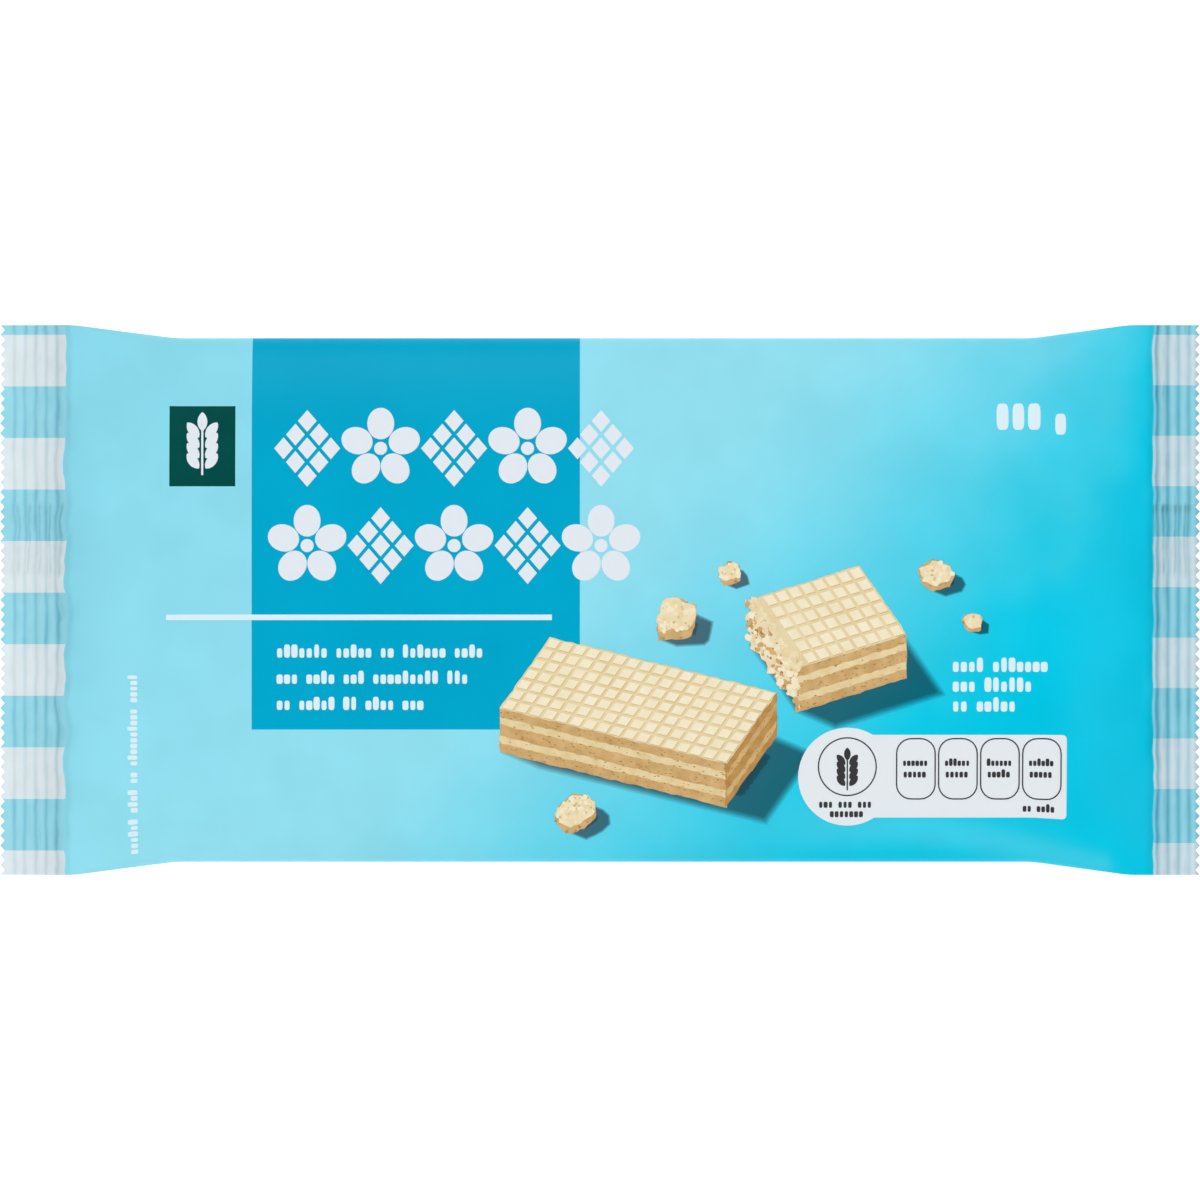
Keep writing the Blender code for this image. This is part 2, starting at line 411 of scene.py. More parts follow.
@dataclass
class FilmForm:
    """The rule that bends flat film into the pack, as a node group that every piece shares.

    It takes flat film whose height is its distance out of the pack's surface. It leaves two values
    on the points for the inks to read: where they lay on the flat film, and how deep in a crimp
    groove they are.
    """

    sizes: PackSizes
    wear: CrimpWear = CrimpWear()
    ramp_power: float = 2.2
    flare_rounding: float = 0.15
    wobble_length: float = 5.5 * MM
    wobble_reach: float = 2.0 * MM
    left_wobble: float = 0.35
    gather_start: float = 3.0 * MM
    front_waves: tuple = ((31.0 * MM, 0.4), (19.0 * MM, 2.1))
    back_waves: tuple = ((37.0 * MM, 1.3), (22.0 * MM, 4.0))
    pucker_start: float = 1.5 * MM
    pucker_reach: float = 6.0 * MM
    pucker_size: Point = (14.0 * MM, 4.2 * MM)
    crease_size: Point = (21.0 * MM, 15.0 * MM)
    crease_sink: float = 0.12
    fin_wall: Point = (-0.7 * MM, 0.1 * MM)
    fin_edge_gap: float = 0.3 * MM
    fin_run_in: float = 4.0 * MM
    group: NodeTree = field(init=False)
    given: SimpleNamespace = field(init=False)

    def __post_init__(self) -> None:
        """Build the node group."""
        numbers = {name: float(getattr(self.sizes, name)) for name in number_names(self.sizes)}
        self.group, self.given = tree_with_inputs("film_form", {"front": 1.0, **numbers})
        given = self.given
        position = add_node(self.group, "GeometryNodeInputPosition")
        split = add_node(self.group, "ShaderNodeSeparateXYZ", {0: position.outputs[0]})
        x, row, lift = (Field(self.group, output) for output in split.outputs)
        inside = (x - given.left_root).through("MINIMUM", given.right_root - x)
        side = self._half_width(x)
        half = given.body_width / 2.0
        y = row + row * (side - half) * abs(row) ** 3.0 / half ** 4.0
        groove = self._groove(x, y)
        at = Station(x, y, inside, side, self._seal_height(x, y, groove))
        z = (self._front(at) + lift) * given.front + (self._back(at) - lift) * (1.0 - given.front)
        end = x.through("SIGN")
        stray = given.root_wobble * (y / self.wobble_length).mottle(end * 4.0, seed=3.7, detail=1.0)
        moved_x = x + stray * (1.0 - self.left_wobble * end) * inside.bell(self.wobble_reach)
        spot = add_node(self.group, "ShaderNodeCombineXYZ", {0: moved_x, 1: y, 2: z})
        geometry = given.Geometry
        notes = ("laid_flat", "FLOAT_VECTOR", position.outputs[0]), ("groove", "FLOAT", groove)
        for name, kind, value in notes:
            noted = {"Geometry": geometry, "Name": name, "Value": value}
            noted = add_node(self.group, "GeometryNodeStoreNamedAttribute", noted, data_type=kind)
            geometry = noted.outputs[0]
        moved = {"Geometry": geometry, "Position": spot.outputs[0]}
        geometry = add_node(self.group, "GeometryNodeSetPosition", moved).outputs[0]
        add_node(self.group, "NodeGroupOutput", {0: geometry})

    def _half_width(self, x: Field) -> Field:
        """Work out half of the pack's width, which grows in straight lines towards the seals.

        Args:
            x: the place along the pack.

        Returns:
            Half of the width.
        """
        given = self.given
        left = (x - given.left_flare_start) / (given.left_flare_end - given.left_flare_start)
        right = (x - given.right_flare_start) / (given.right_flare_end - given.right_flare_start)
        along = left.through("MAXIMUM", right)
        rounding = self.flare_rounding
        bends = []
        for start in (0.0, 1.0 - rounding):
            bend = ((along - start) / rounding).share() ** 2.0 * (rounding / 2.0)
            bends.append(bend + (along - start - rounding).through("MAXIMUM", 0.0))
        flare = (bends[0] - bends[1]) / (1.0 - rounding)
        return (given.body_width + (given.seal_width - given.body_width) * flare) / 2.0

    def _groove(self, x: Field, y: Field) -> Field:
        """Work out how deep in a crimp groove a place is.

        The grooves wander and fade a little along their length, as the film slipped in the jaws,
        and are most uneven over the fin.

        Args:
            x: the place along the pack.
            y: the place across it.

        Returns:
            The depth, from 0 to about 1.
        """
        given, wear = self.given, self.wear
        end = x.through("SIGN")
        fin = y.eased(given.fin_fold, given.fin_fold + wear.fin_blur)
        fin *= 1.0 - y.eased(given.fin_edge - wear.fin_blur, given.fin_edge)
        loose = wear.slip - wear.left_slip * end + wear.fin_slip * fin
        wander = loose * MM * (y / wear.slip_length).mottle(end * 6.0, x / wear.slip_drift, 2.0)
        left = given.left_root - given.left_setback - x
        right = x - given.right_root - given.right_setback
        turns = (left.through("MAXIMUM", right) + wander) / given.rib_pitch
        count = given.left_ribs + (given.right_ribs - given.left_ribs) * x.through("GREATER_THAN", 0.0)
        within = turns.through("GREATER_THAN", 0.0) * turns.through("LESS_THAN", count)
        width = given.rib_groove * (1.0 + wear.right_widening * (end + 1.0))
        main = ((turns.through("FRACT") - 0.5) * given.rib_pitch).bell(width)
        second = ((turns + wear.second_place).through("FRACT") - 0.5) * given.rib_pitch
        order = turns.through("FLOOR") * 3.0
        strength = (y / wear.pressure_length).mottle(order, end, 2.0)
        strength = wear.pressure + wear.pressure_change * strength
        chance = (y / wear.second_length).mottle(order, end + 8.0, 2.0) + wear.second_chance
        chance += wear.second_fin_chance * fin
        faint = (wear.second_depth + wear.second_depth * fin) * chance.share()
        faint = faint.through("MINIMUM", wear.second_most)
        return within * (strength * main + faint * second.bell(given.rib_groove * wear.second_width))

    def _seal_height(self, x: Field, y: Field, groove: Field) -> Field:
        """Work out the height of the middle of the seals: their droop, wave and crimp ribs.

        Args:
            x: the place along the pack.
            y: the place across it.
            groove: how deep in a crimp groove it is.

        Returns:
            The height.
        """
        given = self.given
        left = (given.left_root - x) / (given.length / 2.0 + given.left_root)
        right = (x - given.right_root) / (given.length / 2.0 - given.right_root)
        share = left.through("MAXIMUM", right).through("MAXIMUM", 0.0)
        angle = y * math.tau / given.seal_wave_length + x.through("SIGN")
        wave = given.seal_wave * angle.through("SINE") - given.seal_droop
        return given.seal_height + wave * share - groove * given.rib_depth

    def _section(self, at: Station, shoulder: Field, rise: Field) -> Field:
        """Work out the pack's section: a flat top with round shoulders.

        Args:
            at: the place.
            shoulder: width of a shoulder where the pack is highest.
            rise: share of its full height that the pack has reached there.

        Returns:
            The share of that height which the film keeps at the place.
        """
        reach = at.side + (shoulder - at.side) * rise.eased(0.0, 1.0)
        across = ((abs(at.y) - at.side + reach) / reach).share()
        return (1.0 - across * across).through("MAXIMUM", 0.0) ** 0.5

    def _rise(self, inside: Field, ramp: Field) -> Field:
        """Return the share of the full height that the film has reached at this place."""
        return 1.0 - (1.0 - (inside / ramp).share()) ** self.ramp_power

    def _gathers(self, at: Station, waves: tuple) -> Field:
        """Work out the film's gathers and finer puckers beside the seals.

        Args:
            at: the place.
            waves: length and phase of each wave that makes up the gathers.

        Returns:
            Their height.
        """
        given = self.given
        fade = (at.inside / given.gather_reach * -1.0).through("EXPONENT")
        fade *= at.inside.eased(0.0, self.gather_start) * (1.0 - at.inside.eased(0.0, given.back_ramp))
        height = sum((at.y * (math.tau / length) + phase).through("COSINE") for length, phase in waves)
        near = (at.inside.through("MAXIMUM", 0.0) / -self.pucker_reach).through("EXPONENT")
        near *= at.inside.eased(0.0, self.pucker_start)
        length, width = self.pucker_size
        pucker = (at.y / width).mottle(at.x / length, seed=waves[0][1], detail=1.0)
        lift = given.gather_depth * fade * height + given.pucker_depth * near * pucker
        return (at.side - abs(at.y)).eased(0.0, given.gather_reach) * lift

    def _front(self, at: Station) -> Field:
        """Work out the front film.

        Args:
            at: the place.

        Returns:
            Its height.
        """
        given = self.given
        rise = self._rise(at.inside, given.front_ramp)
        section = self._section(at, given.front_shoulder, rise)
        full = given.height - given.seal_height - given.film_gap / 2.0
        gathers = self._gathers(at, self.front_waves)
        length, width = self.crease_size
        slack = (at.x / length).mottle(at.y / width, seed=5.3, detail=1.0) - self.crease_sink
        crease = given.crease_depth * slack * rise * section
        return at.middle + given.film_gap / 2.0 + full * rise * section + gathers + crease

    def _back(self, at: Station) -> Field:
        """Work out the back film, which is flat under the body and set in beside the fin.

        Args:
            at: the place.

        Returns:
            Its height.
        """
        given = self.given
        rise = self._rise(at.inside, given.back_ramp)
        section = self._section(at, given.back_shoulder, rise)
        full = given.seal_height - given.film_gap / 2.0
        gathers = self._gathers(at, self.back_waves)
        film = full * (1.0 - rise * section) + at.middle - given.seal_height + gathers
        start, stop = self.fin_wall
        step = at.y.eased(given.fin_fold + start, given.fin_fold + stop)
        step *= 1.0 - at.y.eased(given.fin_edge + self.fin_edge_gap, given.fin_fade)
        recess = given.fin_step * step * at.inside.eased(0.0, self.fin_run_in)
        return film.through("MAXIMUM", 0.0) + recess


class Side(Enum):
    """The two faces of the flat film."""

    FRONT = 1.0
    BACK = 0.0


class PrintField(Enum):
    """Fields of the film's own print, with the number that their faces carry."""

    GROUND = 0
    PANEL = 1
    RULE = 2
    TILE = 3
    STRIPE = 4
    PALE_STRIPE = 5
    CRIMPED_GROUND = 6


@dataclass(frozen=True)
class PrintLayout:
    """Where the film's own print lies on the front, in millimetres, as left, right, low, high."""

    panel: tuple = (-65.9, -3.8, -24.5, 60.0)
    panel_wrap: float = 34.0
    rule: tuple = (-82.1, -9.1, -3.8, -2.75)
    tile: tuple = (-81.5, -69.0, 21.5, 36.7)
    stripe_count: int = 11
    stripe_top: float = 50.4
    left_stripe_pitch: float = 9.8
    right_stripe_pitch: float = 9.59
    right_last_drop: float = 0.7

    def stripe_borders(self, end: int) -> list[float]:
        """List one seal's stripe borders.

        Args:
            end: -1 for the left seal, 1 for the right one.

        Returns:
            Y of each border in metres, from the top of the print down.
        """
        pitch = self.left_stripe_pitch if end < 0 else self.right_stripe_pitch
        borders = [(self.stripe_top - pitch * index) * MM for index in range(self.stripe_count)]
        if end > 0:
            borders[-1] -= self.right_last_drop * MM
        return borders

    def field_at(self, x: float, y: float, side: Side, sizes: PackSizes) -> PrintField:
        """Return the print's field at a place on the flat film.

        Args:
            x: place along the pack.
            y: place across it, on the body.
            side: front or back of the film.
            sizes: the pack's sizes.

        Returns:
            The field.
        """
        if not sizes.left_root < x < sizes.right_root:
            borders = self.stripe_borders(-1 if x < 0.0 else 1)
            passed = sum(1 for border in borders if sizes.at_seal(y) < border)
            return PrintField.PALE_STRIPE if passed % 2 else PrintField.STRIPE
        boxes = self.rule, self.tile, self.panel
        kinds = PrintField.RULE, PrintField.TILE, PrintField.PANEL
        for (left, right, low, high), found in zip(boxes, kinds):
            if side is Side.FRONT and left < x / MM < right and low < y / MM < high:
                return found
        wrapped = self.panel[0] < x / MM < self.panel[1] and y / MM > self.panel_wrap
        return PrintField.PANEL if wrapped else PrintField.GROUND


@dataclass
class Surface:
    """A material in the making, with its tree and the places of the flat film."""

    name: str
    material: Material = field(init=False)
    tree: NodeTree = field(init=False)
    x: Field = field(init=False)
    y: Field = field(init=False)

    def __post_init__(self) -> None:
        """Start the material's tree."""
        self.material = bpy.data.materials.new(self.name)
        self.material.use_nodes = True
        self.tree = self.material.node_tree
        self.tree.nodes.clear()
        flat = add_node(self.tree, "ShaderNodeAttribute", attribute_name="laid_flat")
        split = add_node(self.tree, "ShaderNodeSeparateXYZ", {0: flat.outputs["Vector"]})
        self.x, self.y = (Field(self.tree, output) for output in split.outputs[:2])

    def patches(self, size: float, seed: float, detail: float = 1.0) -> Field:
        """Return soft patches of this size over the flat film."""
        return (self.x / size).mottle(self.y / size, seed, detail)


@dataclass(frozen=True)
class Lacquer:
    """Clear satin lacquer rolled over the print on stretched polypropylene film.

    It gives the eye a wide soft sheen, a faint orange peel and slow changes of gloss. The peel of
    a real coat is about 0.2 mm wide, too fine to show, so it is drawn coarser.
    """

    ior: float = 1.49
    gloss: float = 0.055
    roughness: float = 0.33
    gloss_change: float = 0.12
    gloss_patch: float = 11.0 * MM
    peel_size: float = 0.8 * MM
    peel_depth: float = 0.012 * MM

    def coat(self, surface: Surface, colour: object) -> Material:
        """Coat a colour and finish its material.

        Args:
            surface: the material in the making.
            colour: its colour, plain or as a socket.

        Returns:
            The finished material.
        """
        rough = self.roughness + self.gloss_change * surface.patches(self.gloss_patch, seed=1.3)
        peel = surface.patches(self.peel_size, seed=6.1, detail=2.0)
        relief = {"Height": peel, "Distance": self.peel_depth}
        bump = add_node(surface.tree, "ShaderNodeBump", relief)
        finish = {"Base Color": colour, "Roughness": rough, "IOR": self.ior, "Normal": bump.outputs[0]}
        finish["Specular IOR Level"] = self.gloss
        shader = add_node(surface.tree, "ShaderNodeBsdfPrincipled", finish)
        add_node(surface.tree, "ShaderNodeOutputMaterial", {"Surface": shader.outputs[0]})
        return surface.material


@dataclass(frozen=True)
class SolidInk:
    """One opaque gravure ink laid down in full, which the eye sees as an even field."""

    name: str
    colour: str
    lacquer: Lacquer = Lacquer()

    def material(self) -> Material:
        """Make the material."""
        return self.lacquer.coat(Surface(self.name), linear(self.colour))


@dataclass(frozen=True)
class MottledInk:
    """A gravure ink whose cells lay down uneven amounts, seen as soft lighter and darker patches."""

    name: str
    light: str
    dark: str
    patch: float = 16.0 * MM
    contrast: float = 1.6
    lacquer: Lacquer = Lacquer()

    def material(self) -> Material:
        """Make the material.

        Returns:
            The material.
        """
        surface = Surface(self.name)
        amount = (surface.patches(self.patch, seed=2.9, detail=3.0) * self.contrast + 0.5).share()
        inputs = {0: amount, 6: linear(self.light), 7: linear(self.dark)}
        mixed = add_node(surface.tree, "ShaderNodeMix", inputs, data_type="RGBA")
        return self.lacquer.coat(surface, mixed.outputs[2])


@dataclass(frozen=True)
class FadedGround:
    """The pack's ground: a halftone fade from pale to full blue, down to the lower right.

    The stops are places along the diagonal of the print, in millimetres. A painted sheen lies
    along the lower shoulder, and painted shade beside the seals' roots.
    """

    name: str = "ground_ink_on_polypropylene"
    stops: tuple = (
        (-130.0, "#84D3E5"),
        (-60.0, "#8CD9EA"),
        (-4.0, "#90DAE9"),
        (24.0, "#73D4E8"),
        (48.0, "#53CDE5"),
        (68.0, "#2FC7E1"),
        (84.0, "#00C3E0"),
        (104.0, "#00C2E0"),
        (140.0, "#00BFDE"),
    )
    patch: float = 17.0 * MM
    patch_contrast: float = 0.16
    softness: float = 14.0
    right_softness: float = 22.0
    right_run: Point = (45.0 * MM, 95.0 * MM)
    # A painted sheen: the fade is drawn paler in a band along the lower shoulder, where the film turns
    # away.
    pale_band: float = -42.5
    pale_width: float = 6.0 * MM
    pale_start: Point = (15.0 * MM, 45.0 * MM)
    pale_end: Point = (95.0 * MM, 105.0 * MM)
    pale_fall: float = 6.5
    pale_fall_run: Point = (52.0 * MM, 98.0 * MM)
    pale_stop: float = 67.0 * MM
    # Painted shade: deeper blue where the film turns down into the right seal, and a darker line just
    # inside both roots.
    root_ink: float = 16.0 * MM
    root_ink_width: float = 5.0 * MM
    root_shade: float = 0.10
    root_shade_change: float = 2.0
    root_shade_length: float = 6.0 * MM
    root_shade_place: float = 0.5 * MM
    root_shade_width: float = 0.7 * MM
    sizes: PackSizes | None = None
    lacquer: Lacquer = Lacquer()

    def tone(self, surface: Surface) -> NodeSocket:
        """Lay down the fade.

        Args:
            surface: the material in the making.

        Returns:
            The socket of its colour.
        """
        x, y = surface.x, surface.y
        start, end = self.stops[0][0] * MM, self.stops[-1][0] * MM
        soft = (self.softness + self.right_softness * x.eased(*self.right_run)) * MM
        soft *= surface.patches(self.patch, seed=4.4, detail=2.0)
        # Painted sheen: pull the fade back towards its paler stops in a band along the lower shoulder.
        fall = self.pale_fall * x.eased(*self.pale_fall_run)
        sheen_share = (y - (self.pale_band - fall) * MM).bell(self.pale_width)
        sheen_share *= x.eased(*self.pale_start)
        sheen_share *= 1.0 - x.eased(*self.pale_end)
        place = x - y + soft
        # Painted shade: the fade runs on to deeper blue beside the right seal's root.
        place += self.root_ink * (x - self.sizes.right_root).bell(self.root_ink_width)
        place -= sheen_share * (place - self.pale_stop).through("MAXIMUM", 0.0)
        along = (place - start) / (end - start)
        ramp = add_node(surface.tree, "ShaderNodeValToRGB", {0: along})
        band = ramp.color_ramp
        band.interpolation = "B_SPLINE"
        for stop, colour in self.stops[1:-1]:
            band.elements.new((stop * MM - start) / (end - start)).color = linear(colour)
        band.elements[0].color = linear(self.stops[0][1])
        band.elements[-1].color = linear(self.stops[-1][1])
        inside = (x - self.sizes.left_root).through("MINIMUM", self.sizes.right_root - x)
        root = x.through("SIGN") * 3.0
        uneven = (y / self.root_shade_length).mottle(root, seed=7.7, detail=1.0)
        uneven = 1.0 + self.root_shade_change * uneven
        shade = 1.0 + self.patch_contrast * surface.patches(self.patch * 0.8, seed=8.2, detail=2.0)
        shade -= self.root_shade * uneven * (inside - self.root_shade_place).bell(self.root_shade_width)
        toned = {0: ramp.outputs[0], "Scale": shade}
        return add_node(surface.tree, "ShaderNodeVectorMath", toned, operation="SCALE").outputs[0]

    def material(self) -> Material:
        """Make the material."""
        surface = Surface(self.name)
        return self.lacquer.coat(surface, self.tone(surface))


@dataclass(frozen=True)
class CrimpedGround(FadedGround):
    """The ground on the fin, with painted shade as fine darker lines in its lengthwise crimp ribs."""

    name: str = "ground_ink_on_crimped_fin"
    rib_pitch: float = 1.6 * MM
    rib_margin: float = 1.8 * MM
    rib_shade: float = 0.2
    rib_strength: float = 0.8
    rib_change: float = 1.4
    rib_patch: float = 9.0 * MM

    def tone(self, surface: Surface) -> NodeSocket:
        """Lay down the fade with the lines over it.

        Args:
            surface: the material in the making.

        Returns:
            The socket of its colour.
        """
        fold, edge = self.sizes.fin_fold, self.sizes.fin_edge
        inside = (surface.y - fold).through("MINIMUM", edge - surface.y) - self.rib_margin
        # Painted shade in the hollows of the crimp ribs.
        turn = (inside * (math.tau / self.rib_pitch)).through("COSINE")
        line = (0.5 - 0.5 * turn) * inside.through("GREATER_THAN", 0.0)
        uneven = surface.patches(self.rib_patch, seed=2.2, detail=2.0)
        uneven = self.rib_strength + self.rib_change * uneven
        toned = {0: super().tone(surface), "Scale": 1.0 - self.rib_shade * uneven * line}
        return add_node(surface.tree, "ShaderNodeVectorMath", toned, operation="SCALE").outputs[0]


@dataclass(frozen=True)
class ShadowOverprint:
    """Black halftone over the ground, denser with the attribute "shade": a soft printed shadow."""

    name: str
    ground: FadedGround
    densest: str = "#815D61"

    def material(self) -> Material:
        """Make the material.

        Returns:
            The material.
        """
        surface = Surface(self.name)
        density = add_node(surface.tree, "ShaderNodeAttribute", attribute_name="shade").outputs["Fac"]
        dimmed = {0: density, 6: linear("#FFFFFF"), 7: linear(self.densest)}
        dimmed = add_node(surface.tree, "ShaderNodeMix", dimmed, data_type="RGBA").outputs[2]
        toned = {0: self.ground.tone(surface), 1: dimmed}
        toned = add_node(surface.tree, "ShaderNodeVectorMath", toned, operation="MULTIPLY")
        return self.ground.lacquer.coat(surface, toned.outputs[0])


@dataclass(frozen=True)
class SealStripe:
    """A stripe of ink under the hot jaws, with painted shade in the crimp grooves, near the seal's
    root and on the right end's teeth, and a painted highlight on the crease at the root.

    The right end's grooves are drawn bluer and darker than the left's.
    """

    name: str
    left_colour: str
    right_colour: str
    left_groove: str
    right_groove: str
    crease_colour: str
    sizes: PackSizes
    groove_share: float = 0.95
    tip_groove_share: float = 0.55
    groove_run: Point = (-3.0 * MM, 8.0 * MM)
    most_pressed: float = 0.85
    root_shade: float = 0.08
    root_place: float = 0.8 * MM
    root_width: float = 1.6 * MM
    tip_gain: float = 0.06
    tip_run: Point = (4.0 * MM, 11.0 * MM)
    patch: float = 3.0 * MM
    patch_contrast: float = 0.10
    cut_shade: float = 0.24
    cut_width: float = 1.4 * MM
    fin_shade: float = 0.03
    fin_blur: float = 0.5 * MM
    edge_shade: float = 0.05
    edge_groove_shade: float = 0.22
    edge_place: float = 1.1 * MM
    edge_width: float = 0.9 * MM
    # A painted highlight along the crease just outside the seal's root, fainter on the left.
    crease_strength: float = 0.55
    crease_change: float = 1.6
    crease_length: float = 5.0 * MM
    left_crease: float = 0.25
    crease_place: float = 0.34 * MM
    crease_width: float = 0.16 * MM
    lacquer: Lacquer = Lacquer()

    def material(self) -> Material:
        """Make the material.

        Returns:
            The material.
        """
        surface = Surface(self.name)
        x, y = surface.x, surface.y
        sizes = self.sizes
        right = x.through("GREATER_THAN", 0.0)
        outside = (sizes.left_root - x).through("MAXIMUM", x - sizes.right_root)
        note = add_node(surface.tree, "ShaderNodeAttribute", attribute_name="groove")
        groove = Field(surface.tree, note.outputs["Fac"])
        fin = y.eased(sizes.fin_fold, sizes.fin_fold + self.fin_blur)
        fin *= 1.0 - y.eased(sizes.fin_edge - self.fin_blur, sizes.fin_edge)
        edge = right * (y - sizes.fin_edge + self.edge_place).bell(self.edge_width)
        fin *= self.fin_shade + edge * (self.edge_shade + self.edge_groove_shade * groove)
        shade = 1.0 - self.root_shade * (outside - self.root_place).bell(self.root_width) - fin
        uneven = self.patch_contrast * surface.patches(self.patch, seed=3.3)
        shade += self.tip_gain * outside.eased(*self.tip_run) + uneven
        within = (sizes.length / 2.0 - x) / self.cut_width
        shade -= self.cut_shade * (1.0 - within.eased(0.3, 1.0))
        # The stripe's colour at each end, and the colour of its painted groove shade at each end.
        ends = []
        for pair in ((self.left_colour, self.right_colour), (self.left_groove, self.right_groove)):
            inputs = {0: right, 6: linear(pair[0]), 7: linear(pair[1])}
            ends.append(add_node(surface.tree, "ShaderNodeMix", inputs, data_type="RGBA").outputs[2])
        # Painted shade in the crimp grooves: the colour is mixed towards the groove shade by the groove's
        # depth, less towards the tips.
        fade = outside.eased(*self.groove_run)
        depth = self.groove_share + (self.tip_groove_share - self.groove_share) * fade
        depth = (depth * groove).through("MINIMUM", self.most_pressed)
        pressed = {0: depth, 6: ends[0], 7: ends[1]}
        pressed = add_node(surface.tree, "ShaderNodeMix", pressed, data_type="RGBA").outputs[2]
        toned = {0: pressed, "Scale": shade}
        toned = add_node(surface.tree, "ShaderNodeVectorMath", toned, operation="SCALE").outputs[0]
        # Painted highlight: a thin uneven glint mixed in along the crease at the root.
        glint = (y / self.crease_length).mottle(right, seed=5.9, detail=1.0)
        glint = (self.crease_strength + self.crease_change * glint).share()
        end = self.left_crease + (1.0 - self.left_crease) * right
        glint *= end * (outside - self.crease_place).bell(self.crease_width)
        crease = {0: glint, 6: toned, 7: linear(self.crease_colour)}
        mixed = add_node(surface.tree, "ShaderNodeMix", crease, data_type="RGBA")
        return self.lacquer.coat(surface, mixed.outputs[2])


def field_inks(sizes: PackSizes) -> list[Material]:
    """Make the inks of the film's own print.

    Args:
        sizes: the pack's sizes.

    Returns:
        The inks, in the order of the print's fields.
    """
    # Stripe colour at the left and right end, painted groove shade at the left and right end, and the
    # painted crease highlight.
    blue = "#92D0DF", "#8CCEDD", "#5AAAC0", "#1688A8", "#6CD2EC"
    white = "#D4DFE3", "#C6D8DF", "#AAC2CB", "#62A3B8", "#A8E2F6"
    return [
        FadedGround(sizes=sizes).material(),
        MottledInk("panel_ink_on_polypropylene", "#00A6CB", "#009EC3", 22.0 * MM).material(),
        SolidInk("white_ink_on_polypropylene", "#D4EAEF").material(),
        MottledInk("green_ink_on_polypropylene", "#014D49", "#01443F", 6.0 * MM).material(),
        SealStripe("blue_stripe_under_crimp", *blue, sizes).material(),
        SealStripe("white_stripe_under_crimp", *white, sizes, tip_groove_share=0.42).material(),
    ]


def with_exact(stations: list[float], exact: list[float], tolerance: float) -> list[float]:
    """Put exact places into a list of stations.

    Args:
        stations: places of grid lines.
        exact: places that need a grid line of their own.
        tolerance: distance within which the nearest station is moved instead of one added.

    Returns:
        The places in rising order.
    """
    places = sorted(stations)
    for target in exact:
        nearest = min(range(len(places)), key=lambda index: abs(places[index] - target))
        gap = abs(places[nearest] - target)
        if gap < tolerance and places[nearest] not in exact:
            places[nearest] = target
        elif gap > LEAST_GAP:
            places.append(target)
        places.sort()
    return places


def spread(start: float, end: float, step: float) -> list[float]:
    """List places from start to end, about a step apart, both ends included."""
    count = max(1, round(abs(end - start) / step))
    return [start + (end - start) * index / count for index in range(count + 1)]


def flat_slab(
    name: str, columns: list[float], rows: list[float], sizes: PackSizes, lifts: tuple, sides: tuple
) -> Mesh:
    """Lay out a closed slab of grid cells whose ends follow the zigzag cut.

    Args:
        name: name of the mesh.
        columns: places of the grid's columns along X.
        rows: places of its rows along Y, on the body.
        sizes: the pack's sizes.
        lifts: for the upper and the lower face, the height out of the pack's surface at each row.
        sides: for the upper and the lower face, the side of the pack it lies on.

    Returns:
        The slab, whose points carry the side that they lie on as the attribute "front".
    """
    slab = bmesh.new()
    counts = len(columns) - 1, len(rows) - 1
    bmesh.ops.create_grid(slab, x_segments=counts[0], y_segments=counts[1], size=1.0)
    raised = bmesh.ops.extrude_face_region(slab, geom=slab.faces[:])
    upper = {item for item in raised["geom"] if isinstance(item, bmesh.types.BMVert)}
    for vertex in slab.verts:
        column = round((vertex.co.x + 1.0) / 2.0 * counts[0])
        row = round((vertex.co.y + 1.0) / 2.0 * counts[1])
        cut = sizes.zigzag(sizes.at_seal(rows[row])) if column in (0, counts[0]) else 0.0
        x = columns[column] - math.copysign(cut, columns[column])
        vertex.co = (x, rows[row], MM if vertex in upper else -MM)
    bmesh.ops.recalc_face_normals(slab, faces=slab.faces[:])
    layer = slab.verts.layers.float.new("front")
    for vertex in slab.verts:
        face = 0 if vertex.co.z > 0.0 else 1
        vertex[layer] = sides[face].value
        vertex.co.z = lifts[face](vertex.co.y)
    mesh = bpy.data.meshes.new(name)
    slab.to_mesh(mesh)
    slab.free()
    return mesh


def set_inks(tree: NodeTree, geometry: NodeSocket, inks: list[Material]) -> None:
    """End a tree: make its instances real and give each face the material that its number names.

    Args:
        tree: the tree.
        geometry: what it has made, whose faces carry the attribute "ink".
        inks: the materials in the order of their numbers.
    """
    geometry = add_node(tree, "GeometryNodeRealizeInstances", {"Geometry": geometry}).outputs[0]
    number = attribute(tree, "ink")
    for index, ink in enumerate(inks):
        chosen = number.through("COMPARE", float(index), 0.5)
        dressed = {"Geometry": geometry, "Selection": chosen, "Material": ink}
        geometry = add_node(tree, "GeometryNodeSetMaterial", dressed).outputs[0]
    add_node(tree, "NodeGroupOutput", {0: geometry})


